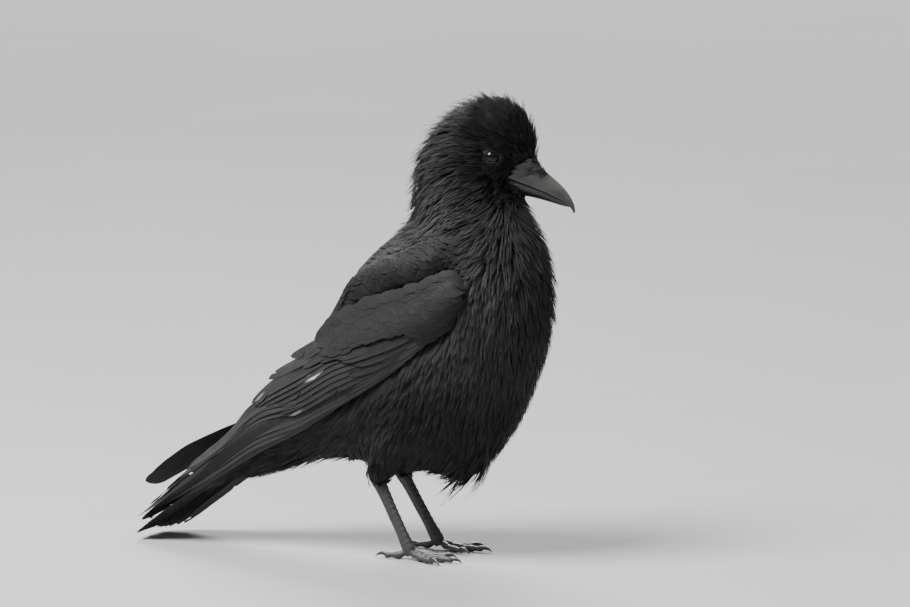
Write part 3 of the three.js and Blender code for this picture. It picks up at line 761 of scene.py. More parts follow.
def vane_template(draw):
    """A smooth closed vane, as on the back and the wing, in the coordinates of feather_template."""
    rows = 1 - (1 - np.linspace(0.06, 1, VANE_ROWS)) ** 1.6
    width = outline_of("vane", rows) * (1 + draw.normal(0, 0.02, VANE_ROWS)) + 0.01
    u = width[:, None] * VANE_COLUMNS
    s = rows[:, None] - 0.06 * np.abs(VANE_COLUMNS) * rows[:, None] ** 4
    c = 0.08 - CROWN["vane"] * u**2
    index = np.arange(u.size).reshape(u.shape)
    a, b, d, e = index[:-1, :-1], index[:-1, 1:], index[1:, 1:], index[1:, :-1]
    faces = np.concatenate([np.stack([d, b, a], -1).reshape(-1, 3), np.stack([e, d, a], -1).reshape(-1, 3)])
    return np.stack([s.ravel(), u.ravel(), c.ravel()]), faces


def feather_template(kind, draw):
    """One feather in its own coordinates: s along, u across and c up, both in half widths; and triangles."""
    if kind == "vane":
        return vane_template(draw)
    joined_to, crown = JOINED[kind], CROWN[kind]
    ends = np.linspace(0.10, 1.0, BARBS[kind] + 1)
    roots = np.maximum(ends - REACH[kind] * outline_of(kind, ends) - 0.06, 0)
    points, faces = [], []

    def vertex(*place):
        points.append(place)
        return len(points) - 1

    shaft = [vertex(root, 0, 0.10) for root in roots]
    for side in (1, -1):
        web = []
        for root, end in zip(roots, ends):
            width = outline_of(kind, end) * joined_to + 0.02
            web.append(vertex(root + (end - root) * joined_to, side * width, 0.10 - crown * width**2))
        for i, end in enumerate(ends[1:]):
            along = min(end + draw.normal(0, 0.018), 1.02)
            width = outline_of(kind, end) * (1 + draw.normal(0, 0.06)) + 0.01
            tip = vertex(along, side * width, 0.08 - crown * width**2 + draw.normal(0, 0.03))
            for corners in ((shaft[i], shaft[i + 1], web[i + 1]), (shaft[i], web[i + 1], web[i]),
                            (web[i], web[i + 1], tip)):
                faces.append(corners[::side])
    return np.array(points).T.copy(), np.array(faces)


def spine_weights(s):
    """Weights that give a smooth curve through STATIONS places, at each s."""
    only = np.eye(STATIONS)
    padded = np.concatenate([[2 * only[0] - only[1]], only, [2 * only[-1] - only[-2]]])
    t = np.clip(s, 0, 1.02) * (STATIONS - 1)
    i = np.minimum(t.astype(int), STATIONS - 2)
    f = (t - i)[:, None]
    a, b, c, d = (padded[i + k] for k in range(4))
    return 0.5 * (2 * b + (c - a) * f + (2 * a - 5 * b + 4 * c - d) * f**2 + (3 * b - a - 3 * c + d) * f**3)


def tangent(vectors, normals):
    return unit(vectors - (vectors * normals).sum(-1, keepdims=True) * normals)


def lay_feathers(roots, flows, lengths, loose=0.0, follow=True):
    """The places, normals and sideways directions of each feather's stations on the bird."""
    places, normals = form.nearest(roots)
    stations = [(places, normals)]
    for _ in range(STATIONS - 1):
        target = places + tangent(flows, normals) * (lengths / (STATIONS - 1))[:, None]
        down, normals = form.nearest(target)
        off = target - down
        outside = ((off * normals).sum(1) > 0) * loose
        places = down + off * outside[:, None]
        stations.append((places, normals))
        if follow:
            flows = coat_at(places)[0]
    spine, up = (np.stack(column, 1) for column in zip(*stations))
    return spine, up, unit(np.cross(up, np.gradient(spine, axis=1)))


def unwrap(points):
    """Where each point falls on a cylinder-like unwrap of the bird's own shape."""
    best = np.full(len(points), np.inf)
    along, centre, ahead = np.zeros(len(points)), np.zeros_like(points), np.zeros_like(points)
    done = 0.0
    line = body_place(MIDDLE_LINE)
    for a, b in zip(line[:-1], line[1:]):
        span = b - a
        t = eased((points - a) @ span, 0, span @ span)
        foot = a + t[:, None] * span
        gap = np.linalg.norm(points - foot, axis=1)
        closer = gap < best
        best[closer] = gap[closer]
        along[closer] = done + t[closer] * np.linalg.norm(span)
        centre[closer], ahead[closer] = foot[closer], unit(span)
        done += np.linalg.norm(span)
    out = points - centre
    level = np.cross(ahead, [0, 1, 0])
    angle = np.arctan2(out[:, 1], (out * level).sum(1))
    return np.stack([0.01 + 0.98 * (angle / (2 * np.pi) + 0.5), 0.01 + 0.98 * along / done], 1)


def feather_mesh(kind, template, laid, draw):
    """Every feather of one template as vertices, triangles, tones by the feather and places on the map."""
    spine, up, side, half_width, depth, lift, lengths = laid
    (s, u, c), triangles = template
    count = len(spine)
    neat = kind == "vane"
    centre, normal, across = (np.einsum("vk,fkx->fvx", spine_weights(s), a) for a in (spine, up, side))
    roll = draw.normal(0, ROLL[kind], count)
    curl = draw.normal(0, CURL[kind], count)
    tall = draw.normal(1, 0.06 if neat else 0.18, count)
    sink = -(depth[:, None] * np.clip(1 - s, 0, 1) ** 1.7)
    rise = (lift * lengths * tall)[:, None] * s**1.8
    cos, sin = np.cos(roll)[:, None, None], np.sin(roll)[:, None, None]
    width = half_width[:, None]
    verts = (
        centre
        + (across * cos + normal * sin) * (u * width)[..., None]
        + (normal * cos - across * sin) * (c * width)[..., None]
        + normal * (sink + rise)[..., None]
        + across * ((curl * lengths)[:, None] * s**2)[..., None]
    )
    own = draw.normal(0.42, 0.05 if neat else 0.10, count)[:, None]
    grain = draw.normal(0, 0.02 if neat else 0.05, (count, len(s)))
    tone = own + (0.10 if neat else 0.25) * (s - 0.5) + grain
    patch = unwrap(spine[:, 0])[:, None, :] + np.stack([u * 0.45, s - 0.5], -1) * TUFT_PATCH
    faces = triangles + (np.arange(count) * len(s))[:, None, None]
    return verts.reshape(-1, 3), faces.reshape(-1, 3), tone, patch.reshape(-1, 2)


def spread_roots(surface, spacing_of, draw):
    """Roots scattered evenly over a surface: random places, with those too near another left out."""
    spacing = spacing_of(surface.verts[surface.tris].mean(1))
    weights = surface.areas / spacing**2
    count = int(weights.sum() * 2.2)
    faces = draw.choice(len(weights), count, p=weights / weights.sum())
    a, b = draw.random((2, count, 1))
    over = a + b > 1
    a, b = np.where(over, 1 - a, a), np.where(over, 1 - b, b)
    corner = surface.verts[surface.tris[faces]]
    points = corner[:, 0] + a * (corner[:, 1] - corner[:, 0]) + b * (corner[:, 2] - corner[:, 0])
    room = spacing[faces] * ROOM
    cells = np.floor(points / room.max()).astype(int)
    grid, kept = {}, []
    for i, ((x, y, z), p, r) in enumerate(zip(cells.tolist(), points.tolist(), room.tolist())):
        around = product((x - 1, x, x + 1), (y - 1, y, y + 1), (z - 1, z, z + 1))
        others = (q for cell in around for q in grid.get(cell, ()))
        if all((q[0] - p[0]) ** 2 + (q[1] - p[1]) ** 2 + (q[2] - p[2]) ** 2 >= r * r for q in others):
            grid.setdefault((x, y, z), []).append(p)
            kept.append(i)
    return points[kept]


def gathered(spine, lengths, kinds, draw):
    """Draws neighbouring tips together into locks. Gives the spines, the lift by the lock, and a tone by the
    lock: random, with a painted highlight on the raised locks.
    """
    roots = spine[:, 0]
    seeds = draw.choice(len(roots), len(roots) // LOCK_SIZE, replace=False)
    tree = KDTree(len(seeds))
    for i, seed in enumerate(seeds):
        tree.insert(roots[seed], i)
    tree.balance()
    lock = np.array([tree.find(p)[1] for p in roots])
    raised = (draw.random(len(seeds)) < RAISED)[lock]
    pull = np.array([PULL[kind] for kind in KINDS])[kinds] * np.where(raised, 1.45, 0.85)
    shift = (spine[seeds[lock], -1] - spine[:, -1]) * pull[:, None]
    far = np.linalg.norm(shift, axis=1)
    shift *= (np.minimum(far, LONGEST_PULL * lengths) / np.maximum(far, 1e-9))[:, None]
    share = np.linspace(0, 1, STATIONS) ** 1.5
    rough = np.array([LOCK_LIFT[kind] for kind in KINDS])[kinds]
    uneven = np.where(raised, 1.7, -0.7) + 0.3 * draw.normal(0, 1, len(seeds))[lock]
    # A random tone for each lock, and a painted highlight on the locks that stand up.
    shade = 0.30 * rough * (draw.normal(0, 1, len(seeds))[lock] + 0.6 * raised)
    return spine + shift[:, None] * share[None, :, None], np.clip(1 + rough * uneven, 0.2, 2.2), shade


# ---- The coat ------------------------------------------------------------------------------------

COAT_SEED, BRISTLE_SEED = 11, 71
TEMPLATES = 4  # different feathers of each kind
PIECES = {
    "coat_head": list(HEAD_COAT)[:14],
    "coat_nape": ["nape_top", "nape", "nape_side", "low_nape", "neck_side"],
    "coat_neck": ["throat", "throat_side", "hind_neck", "neck_flank", "fore_neck"],
    "coat_breast": ["upper_breast", "breast", "breast_side", "low_breast"],
    "coat_belly": ["belly_side", "belly_front", "belly"],
    "coat_flank": ["flank", "rear_flank", "vent", "undertail", "tail_cover"],
    "coat_back": ["mantle", "back", "low_back", "rump", "uppertail"],
    "coat_scapulars": ["shoulder", "scapular_top", "scapular", "scapular_low", "scapular_end"],
    "coat_thighs": ["thigh_front", "thigh_outer", "thigh_inner", "thigh_rear", "ankle"],
}
SMOOTH_PIECES = ("coat_back", "coat_scapulars")
EYE_TURN, EYE_LIFT = 0.16, 0.04  # how much an eye looks ahead and up, for 1 to its side
EYE_OPENING = 4.95  # radius that the coat keeps clear round the middle of the eye
PARTING = 1.4  # the coat is parted out to this many times that radius
BRISTLE_SPACING = 0.62 * MM
BRISTLE_TEMPLATES = 3


def eye_axes(side):
    """The way the eye looks, and the directions ahead and up across its face."""
    look = unit(head_turned((EYE_TURN, SIDES[side], EYE_LIFT)))
    front = head_turned((1, 0, 0))
    ahead = unit(front - look * (front @ look))
    up = np.cross(look, ahead)
    return look, ahead, up * np.sign(up[2])


def clear_of_eyes(verts):
    """Parts the coat round each eye, as the short feathers there end at the lids."""
    for side in SIDES:
        look, _, _ = eye_axes(side)
        gap = verts - EYES[side]
        out = gap @ look
        flat = gap - out[:, None] * look
        far = np.linalg.norm(flat, axis=1)
        reach = EYE_OPENING * MM
        near = (out > 0) & (far < PARTING * reach)
        share = far[near] / (PARTING * reach)
        pushed = reach + (PARTING - 1) * reach * share**1.5
        verts[near] += flat[near] * (pushed / np.maximum(far[near], 1e-7) - 1)[:, None]
    return verts


def over_wing(places, below=0.0, above=0.0):
    """Whether places are within a folded wing's front outline, or this far outside it, in millimetres."""
    x, y, z = in_body(places).T
    inside = (z > wing_edge(WING_LOWER, x) - below) & (z < wing_edge(WING_UPPER, x) + above)
    return inside & (np.abs(y) > 22) & (x < 57) & (x > -52)


def coat_roots(draw):
    """Where small feathers grow: everywhere but on the wings, the bill, the eyes and the tail."""
    roots = spread_roots(form, lambda p: coat_at(p)[1][:, SPACING] * MM, draw)
    on_wing = (np.abs(wings.nearest(roots)[0] - roots).max(1) < 1.5 * MM) | over_wing(roots, -2.0, 3.0)
    on_bill = (bill_surface.depth_of(roots) < 0.9 * MM) | in_tuft(roots)
    eye_gap = np.min([np.linalg.norm(roots - EYES[side], axis=1) for side in SIDES], axis=0)
    on_eye = eye_gap < (EYE_RADIUS + 0.2) * MM
    on_tail = tail_form.depth_of(roots) < 0.8 * MM
    return roots[~(on_wing | on_bill | on_eye | on_tail)]


def make_coat():
    """The small feathers of the head and the body, shorter where they would lie over a wing."""
    draw = np.random.default_rng(COAT_SEED)
    roots = coat_roots(draw)
    flows, numbers, strongest = coat_at(roots)
    lengths = numbers[:, LENGTH] * MM * draw.normal(1, 0.10, len(roots))
    spine, _, _ = lay_feathers(roots, flows, lengths, numbers[:, LOOSENESS])
    clear = ~over_wing(spine[:, 3], 1.0, -1.0)
    kept = (a[clear] for a in (roots, flows, numbers, strongest, lengths))
    roots, flows, numbers, strongest, lengths = kept
    lengths = np.where(over_wing(spine[clear, 4]), 0.75 * lengths, lengths)
    spine, up, side = lay_feathers(roots, flows, lengths, numbers[:, LOOSENESS])
    kinds = ANCHOR_KINDS[strongest]
    spine, lock_lift, lock_tone_and_highlight = gathered(spine, lengths, kinds, draw)
    laid = (spine, up, side, numbers[:, HALF_WIDTH] * MM, numbers[:, DEPTH] * MM,
            numbers[:, LIFT] * lock_lift, lengths)
    # Each feather's tone: the table's tone and painted light and shade, and its lock's tone and painted
    # highlight.
    shade = numbers[:, TONE_AND_PAINTED_LIGHT] + lock_tone_and_highlight
    templates = {kind: [feather_template(kind, draw) for _ in range(TEMPLATES)] for kind in KINDS}
    for name, rows in PIECES.items():
        member = np.isin(ANCHOR_NAMES[strongest], rows)
        parts = []
        for kind, which in product(KINDS, range(TEMPLATES)):
            chosen = np.flatnonzero(member & (kinds == KINDS.index(kind)))[which::TEMPLATES]
            if not len(chosen):
                continue
            few = [values[chosen] for values in laid]
            verts, faces, tone, uv = feather_mesh(kind, templates[kind][which], few, draw)
            parts.append((verts, faces, (tone + shade[chosen, None]).ravel(), uv))
        verts, faces, tone, uv = joined(parts)
        look = SMOOTH_FEATHER if name in SMOOTH_PIECES else BODY_FEATHER
        new_piece(name, clear_of_eyes(verts), faces, look, tone, uv)


def make_bristles():
    """Stiff fine feathers that run forward from the forehead and lores over the base of the bill."""
    draw = np.random.default_rng(BRISTLE_SEED)
    near = np.flatnonzero(in_tuft(form.verts[form.tris].mean(1)))
    patch = Surface(form.verts, form.tris[near])
    roots = spread_roots(patch, lambda p: np.full(len(p), BRISTLE_SPACING), draw)
    count = len(roots)
    x, y, _ = in_head(roots).T
    lengths = np.clip(TUFT_FRONT - x, 4.5, 14) * draw.uniform(0.86, 1.06, count) * MM
    down = np.where(np.abs(y) > 4, -0.22, -0.55)
    way = np.stack([np.ones(count), draw.normal(0, 0.06, count), down + draw.normal(0, 0.07, count)], -1)
    spine, up, side = lay_feathers(roots, unit(head_turned(way)), lengths, follow=False)
    spine, lock_lift, _ = gathered(spine, lengths, np.full(count, KINDS.index("hair")), draw)
    parts = []
    for which in range(BRISTLE_TEMPLATES):
        template = feather_template("hair", draw)
        pick = slice(which, None, BRISTLE_TEMPLATES)
        size = len(lengths[pick])
        half_width = draw.uniform(0.40, 0.70, size) * MM
        lift = draw.uniform(0.02, 0.06, size) * np.minimum(lock_lift[pick], 1.2)
        laid = (spine[pick], up[pick], side[pick], half_width, np.full(size, 0.5 * MM), lift, lengths[pick])
        verts, faces, tone, uv = feather_mesh("hair", template, laid, draw)
        streak = draw.normal(0, 0.26, (size, 1))
        parts.append((verts, faces, (tone + 0.32 + streak).ravel(), uv))
    verts, faces, tone, uv = joined(parts)
    new_piece("bristles", verts, faces, BRISTLE, tone, uv)


make_coat()
make_bristles()

# ---- Long feathers of the wings and the tail -----------------------------------------------------

ACROSS = np.array([-1, -0.82, -0.6, -0.38, -0.18, -0.045, 0, 0.06, 0.25, 0.5, 0.78, 1])  # trailing to leading
RIB = 6  # the shaft's column in ACROSS
OUT, LEADING, TRAILING = np.abs(ACROSS), ACROSS > 0, ACROSS < 0
# The inner web is dark, the outer one lighter to its rim: partly the webs' own colour, partly painted shade
# on the trailing web where the next feather lies over it, and a painted highlight along the leading rim.
WEB_TONE_AND_PAINTED_LIGHT = np.array([-0.26, -0.28, -0.28, -0.26, -0.22, -0.16, -0.20, -0.04, 0.04, 0.09, 0.13, 0.26])
ROWS_PER_METRE = 520
BARB_SLANT = 1.25  # how far a barb runs on along the feather for each millimetre out
RAGGED = 0.25  # how uneven the webs' rims are
FLECK_OUT = 2.0  # how far from the shaft the middle of a pale place is


def web_outline(s, root, blunt, narrow_from=1.0, narrow_to=1.0):
    """A web's width along the feather: it opens, rounds off at the tip, and may step narrower."""
    width = np.clip(s / root, 0, 1) ** 0.6 * np.clip(1 - s**blunt, 0, 1) ** 0.55
    step = np.clip((s - narrow_from) / 0.10, 0, 1)
    return width * (1 + (narrow_to - 1) * step * step * (3 - 2 * step))


class FeatherSheaf:
    """Long feathers collected into one piece, each with a rectangle of its own on the OFBake map."""

    def __init__(self, name, columns, seed):
        self.name, self.columns = name, columns
        self.draw = np.random.default_rng(seed)
        self.feathers = []

    def split_webs(self, s, length, splits):
        """Parts the webs in a few places along s, and gives which faces are open there."""
        opened = np.zeros((len(s) - 1, len(ACROSS) - 1), bool)
        for _ in range(splits):
            row = int(self.draw.uniform(0.45, 0.97) * len(s))
            edge = LEADING if self.draw.random() < 0.4 else TRAILING
            if row >= len(s) - 3:
                continue
            pull = edge * OUT**2 * (self.draw.uniform(0.5, 1.3) * MM / length)
            s[row + 1:row + 4] += pull
            s[row - 3:row + 1] -= pull * 0.5
            opened[row, (np.minimum(OUT[1:], OUT[:-1]) > 0.35) & edge[1:] & edge[:-1]] = True
        return opened

    def paleness(self, s, width, length, flecks):
        """The pale places on the leading web: (share along, reach along and across, strength) each."""
        pale = np.zeros(s.shape)
        for centre, reach_along, reach_across, strength in flecks:
            gap = ((s - centre) * length / (reach_along * MM)) ** 2
            gap += ((OUT * width - FLECK_OUT * MM) / (reach_across * MM)) ** 2
            spot = np.clip(1.4 - gap, 0, 1) * strength * self.draw.uniform(0.75, 1.0, s.shape)
            pale = np.maximum(pale, spot * LEADING)
        return pale

    def add(self, spine, up, across, lead, trail, lead_web, trail_web, tilt, camber, tone, splits=0,
            contrast=1.0, flecks=()):
        """One feather along a spine: lead and trail are its webs' greatest widths, in millimetres."""
        draw = self.draw
        length = np.linalg.norm(np.diff(spine, axis=0), axis=1).sum()
        rows = int(length * ROWS_PER_METRE) + 14
        ends = np.linspace(0.04, 1.0, rows)
        lead_width = lead * MM * web_outline(ends, *lead_web)
        trail_width = trail * MM * web_outline(ends, *trail_web)
        width = np.where(LEADING, lead_width[:, None], trail_width[:, None])
        s = ends[:, None] - np.minimum(BARB_SLANT * width / length, ends[:, None] * 0.6) * (1 - OUT)
        wave = draw.normal(0, 1, (rows, 1))
        for _ in range(3):
            wave = (np.roll(wave, 1, 0) + wave + np.roll(wave, -1, 0)) / 3
        s = s + RAGGED * (0.35 * MM / length) * wave * OUT**2
        s = s + RAGGED * (0.30 * MM / length) * draw.normal(0, 1, s.shape) * (OUT > 0.9)
        opened = self.split_webs(s, length, splits)
        offsets = width * OUT * (1 + 0.05 * RAGGED * wave) * np.where(LEADING, -1, 1)
        height = tilt * -offsets - camber * width * OUT**2
        height[:, RIB] += 0.32 * MM * np.clip(1.15 - ends, 0.15, 1)
        height += 0.05 * MM * draw.normal(0, 1, height.shape)
        places = np.linspace(0, 1, len(spine))

        def along(values):
            return np.stack([np.interp(s, places, values[:, k]) for k in range(3)], -1)

        beyond = np.clip(s - 1, 0, None)[..., None] * length * unit(spine[-1] - spine[-2])
        verts = along(spine) + beyond + along(across) * offsets[..., None] + along(up) * height[..., None]
        index = np.arange(s.size).reshape(s.shape)
        quads = np.stack([index[:-1, :-1], index[:-1, 1:], index[1:, 1:], index[1:, :-1]], -1)[~opened]
        # The feather's tone, with its webs' colour, painted shade and painted highlight, scaled by contrast.
        shade = draw.normal(tone, 0.04) + WEB_TONE_AND_PAINTED_LIGHT * contrast + 0.05 * wave * OUT + 0.10 * (s - 0.5)
        barb = ends[:, None] * length / MM + 0 * s
        pale = self.paleness(s, width, length, flecks)
        row, column = divmod(len(self.feathers), self.columns)
        uv = np.stack([(column + 0.04 + 0.92 * (ACROSS + 1) / 2 + 0 * s) / self.columns,
                       (row + 0.04 + 0.92 * np.clip(s, 0, 1)) / self.columns], -1)
        self.feathers.append((verts.reshape(-1, 3), quads, shade.ravel(), uv.reshape(-1, 2),
                              barb.ravel(), pale.ravel()))

    def finish(self, material):
        """The feathers as a piece."""
        verts, faces, tone, uv, barb, fleck = joined(self.feathers)
        piece = new_piece(self.name, verts, faces, material, tone, uv)
        add_values(piece.data, "barb", barb)
        add_values(piece.data, "fleck", fleck)
        return piece


# ---- Wings ---------------------------------------------------------------------------------------

FLIGHT_SEED = {"left": 101, "right": 202}
COVERT_SEED = {"left": 303, "right": 404}
LESSER_SEED = {"left": 611, "right": 612}
# How far up the folded left wing's end is swung, as (x, height): it is held clear of the rump.
LEFT_WING_SWING = ((-237, 25), (-200, 25), (-175, 20.5), (-155, 16), (-105, 0))
# Tips as (x, z) in the side view for the right wing's primaries, from the first to the tenth and outermost,
# and as (x, rank) for all others: a rank is 0 at the folded wing's lower edge and 1 at its upper.
PRIMARY_TIPS = ((-140, 92), (-153, 84), (-168, 72), (-187, 56), (-208, 38), (-222, 25), (-230, 16),
                (-226, 15), (-207, 28), (-170, 54))
LEFT_PRIMARY_TIPS = ((-140, 0.35), (-156, 0.35), (-172, 0.35), (-188, 0.35), (-204, 0.35), (-220, 0.35),
                     (-233, 0.35), (-242, 0.35), (-241, 0.30), (-230, 0.20))
SECONDARY_TIPS = ((-92, 0.24), (-99, 0.32), (-106, 0.40), (-112, 0.48), (-118, 0.56), (-124, 0.64),
                  (-129, 0.72))
TERTIAL_TIPS = ((-132, 0.82), (-118, 0.91), (-97, 0.97))
GREATER_TIPS = ((-33, 0.26), (-28, 0.34), (-22, 0.42), (-40, 0.46), (-47, 0.53), (-62, 0.60), (-90, 0.57),
                (-80, 0.70), (-88, 0.84))
PRIMARY_COVERT_TIPS = ((-38, 0.02), (-35, 0.06), (-31, 0.10), (-27, 0.14), (-22, 0.18), (-16, 0.21),
                       (-10, 0.24))
ALULA_TIPS = ((-2, 0.03), (7, 0.09), (15, 0.16))
# Pale places on the right wing, by the feather: share along, reach along and across it, and strength.
PRIMARY_FLECKS = {2: [(0.79, 6, 1.6, 0.5)], 10: [(0.335, 4, 0.9, 0.7)]}
GREATER_FLECKS = {6: [(0.43, 15, 4.2, 1.3)]}
# And on both.
SECONDARY_FLECKS = {0: [(0.93, 7, 1.3, 0.22)]}
TERTIAL_FLECKS = {0: [(0.93, 5, 1.5, 0.35)]}
LESSER_FRONT, LESSER_BACK = 61.0, -56.0  # in x
LESSER_RUN = 105.0  # they grow larger over this length
LESSER_TRIES = 16000
LESSER_TEMPLATES = 4


def blurred(grid, rounds):
    for _ in range(rounds):
        padded = np.pad(grid, 1, mode="edge")
        grid = (padded[:-2, 1:-1] + padded[2:, 1:-1] + 2 * padded[1:-1, 1:-1] + padded[1:-1, :-2]
                + padded[1:-1, 2:]) / 6
    return grid


class WingFace:
    """A folded wing's outer face as a smooth sheet over (x, rank)."""

    def __init__(self, side):
        self.side = side
        self.xs = np.linspace(60, -240, 76)
        self.ranks = np.linspace(0.08, 0.92, 10)
        self.out = blurred(self.measured(), 3)
        if side == "left":
            end = eased(self.xs, -100, -130)[:, None]
            smooth = blurred(np.repeat(self.out.mean(1, keepdims=True), len(self.ranks), 1), 60)
            self.out = self.out * (1 - end) + smooth * end

    def measured(self):
        """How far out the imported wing's face is at each x and rank, carried on where it has no face."""
        verts, tris = solids(WINGS[self.side])
        tree = BVHTree.FromPolygons(verts.tolist(), tris.tolist())
        sign = SIDES[self.side]
        x, z = self.drawn(*np.meshgrid(self.xs, self.ranks, indexing="ij"))
        start = body_place(np.stack([x, 0 * x + sign * 120, z], -1))
        found = np.full(x.shape, np.nan)
        for i in np.ndindex(x.shape):
            hit = tree.ray_cast(Vector(start[i]), Vector((0, -sign, 0)))[0]
            if hit is not None:
                found[i] = hit.y
        for column in found.T:
            known = np.isfinite(column)
            column[~known] = np.interp(-self.xs[~known], -self.xs[known], column[known])
        return found

    def drawn(self, x, rank):
        """The side view's x and z of a place."""
        z = wing_edge(WING_LOWER, x) + rank * (wing_edge(WING_UPPER, x) - wing_edge(WING_LOWER, x))
        if self.side == "left":
            return x, z + np.interp(x, *zip(*LEFT_WING_SWING))
        return x, z

    def at(self, x, rank):
        """Places on the face. Past its measured ranks and ahead of the wing's bend it curves in."""
        u = np.clip((self.xs[0] - x) / (self.xs[0] - self.xs[1]), 0, len(self.xs) - 1.001)
        v = np.clip((rank - self.ranks[0]) / (self.ranks[1] - self.ranks[0]), 0, len(self.ranks) - 1.001)
        i, j = u.astype(int), v.astype(int)
        f, g = u - i, v - j
        out = ((1 - f) * (1 - g) * self.out[i, j] + f * (1 - g) * self.out[i + 1, j]
               + (1 - f) * g * self.out[i, j + 1] + f * g * self.out[i + 1, j + 1])
        past = np.maximum(self.ranks[0] - rank, 0) + np.maximum(rank - self.ranks[-1], 0)
        sx, sz = self.drawn(x, rank)
        places = body_place(np.stack([sx, 0 * sx, sz], -1))
        ahead = np.clip((x - 52) / 6, 0, 1.5)
        places[..., 1] = out - SIDES[self.side] * (past**1.5 * 80 + 2.6 * ahead**2) * MM
        return places

    def proud(self, x, rank):
        """How far, in millimetres, the coverts stand off there: most at the wing's bend and upper edge."""
        front = 0.7 * bell(x - 52, 12) * np.clip(rank * 2, 0.2, 1)
        upper = bell(rank - 1.0, 0.20) * eased(x, -62, -32)
        return 0.8 + 2.2 * np.maximum(front, upper)

    def frame(self, x, rank):
        """Places, outward normals and upward (across) directions."""
        along = unit(self.at(x - 4, rank) - self.at(x + 4, rank))
        rise = self.at(x, rank + 0.08) - self.at(x, rank - 0.08)
        normal = unit(np.cross(along, rise))
        normal *= np.where(normal[..., 1:2] * SIDES[self.side] < 0, -1, 1)
        across = unit(rise - (rise * along).sum(-1, keepdims=True) * along)
        return self.at(x, rank), normal, across

    def lay(self, sheaf, root, tip, height, ease=1.0, **feather):
        """Adds a feather from root (x, rank) to tip (x, rank), at two heights over the coverts' level."""
        t = np.linspace(0, 1, 60)
        x = root[0] + (tip[0] - root[0]) * t
        rank = root[1] + (tip[1] - root[1]) * t**ease
        places, normal, across = self.frame(x, rank)
        level = (height[0] + (height[1] - height[0]) * np.clip(t * 1.6, 0, 1) + self.proud(x, rank)) * MM
        sheaf.add(places + normal * level[:, None], normal, across, **feather)


def ranked(x, z):
    """A place in the side view as (x, rank)."""
    low, high = wing_edge(WING_LOWER, x), wing_edge(WING_UPPER, x)
    return x, (z - low) / max(high - low, 1.0)


def lay_primaries(face, sheaf):
    """Ten primaries, the outermost first. The left wing's are closed and painted dark, as painted shade on
    the far wing.
    """
    if face.side == "right":
        tips, flecks = [ranked(x, z) for x, z in PRIMARY_TIPS], PRIMARY_FLECKS
        slim, tip_round, notch, tone, splits, contrast = 1.0, 22, (0.85, 0.68), 0.48, 1, 1.0
    else:
        tips, flecks = LEFT_PRIMARY_TIPS, {}
        # The far wing's low tone and weak web contrast are painted shade.
        slim, tip_round, notch, tone, splits, contrast = 0.92, 30, (1.0, 1.0), 0.12, 0, 0.3
    for k in range(10, 0, -1):
        share = (10 - k) / 9
        notched = k >= 6
        lead_to, trail_to = notch if notched else (1.0, 1.0)
        face.lay(sheaf, (44, 0.02 + 0.10 * share), tips[k - 1], (-4.0 + share, -0.1 * k / 10), ease=2.0,
                 lead=(3.6 + 1.6 * share) * slim, trail=(13.5 - 2.5 * share) * slim,
                 lead_web=(0.15, tip_round, 0.62, lead_to),
                 trail_web=(0.18, 16 if notched else 10, 0.70, trail_to),
                 tilt=0.27, camber=0.04, tone=tone + 0.02 * share, splits=splits, contrast=contrast,
                 flecks=flecks.get(k, ()))


def lay_secondaries(face, sheaf):
    for k, tip in enumerate(SECONDARY_TIPS):
        share = k / (len(SECONDARY_TIPS) - 1)
        face.lay(sheaf, (32 - 50 * share, 0.16 + 0.40 * share), tip, (-3.6, 0.45 + 0.25 * share), ease=1.15,
                 lead=4.4 + share, trail=9.5, lead_web=(0.15, 13), trail_web=(0.18, 10),
                 tilt=0.27, camber=0.06, tone=0.25 + 0.09 * share, splits=1,
                 flecks=SECONDARY_FLECKS.get(k, ()))


def lay_tertials(face, sheaf):
    for k, tip in enumerate(TERTIAL_TIPS):
        face.lay(sheaf, (-26 - 8 * k, 0.58 + 0.12 * k), tip, (-3.0, 0.9 + 0.3 * k), ease=1.3,
                 lead=6.6, trail=7.6 - 2.2 * k, lead_web=(0.2, 9), trail_web=(0.2, 9),
                 tilt=0.13, camber=0.12, tone=0.52, splits=1, contrast=0.6, flecks=TERTIAL_FLECKS.get(k, ()))


def lay_primary_coverts(face, sheaf):
    for k, tip in enumerate(PRIMARY_COVERT_TIPS):
        face.lay(sheaf, (34 + 0.8 * k, 0.07 + 0.022 * k), tip, (-2.4, 0.0), lead=1.9, trail=4.4,
                 lead_web=(0.15, 8), trail_web=(0.15, 6), tilt=0.30, camber=0.06, tone=0.38)


def lay_alula(face, sheaf):
    for k, tip in enumerate(ALULA_TIPS):
        face.lay(sheaf, (42 + 2.0 * k, 0.10 + 0.06 * k), tip, (-1.2, 0.6), lead=2.6, trail=4.4,
                 lead_web=(0.15, 7), trail_web=(0.15, 5), tilt=0.26, camber=0.06, tone=0.42)


def lay_greater_coverts(face, sheaf):
    flecks = GREATER_FLECKS if face.side == "right" else {}
    for k, (x, rank) in enumerate(GREATER_TIPS):
        share = k / (len(GREATER_TIPS) - 1)
        face.lay(sheaf, (x + 56 - 8 * share, rank - 0.10), (x, rank), (-2.2, 0.5 + 0.3 * share),
                 lead=4.6 + 1.2 * share, trail=7.0, lead_web=(0.2, 8), trail_web=(0.2, 6),
                 tilt=0.24 - 0.12 * share, camber=0.08, tone=0.16 + 0.22 * share,
                 contrast=1.2 - 0.8 * share, flecks=flecks.get(k, ()))


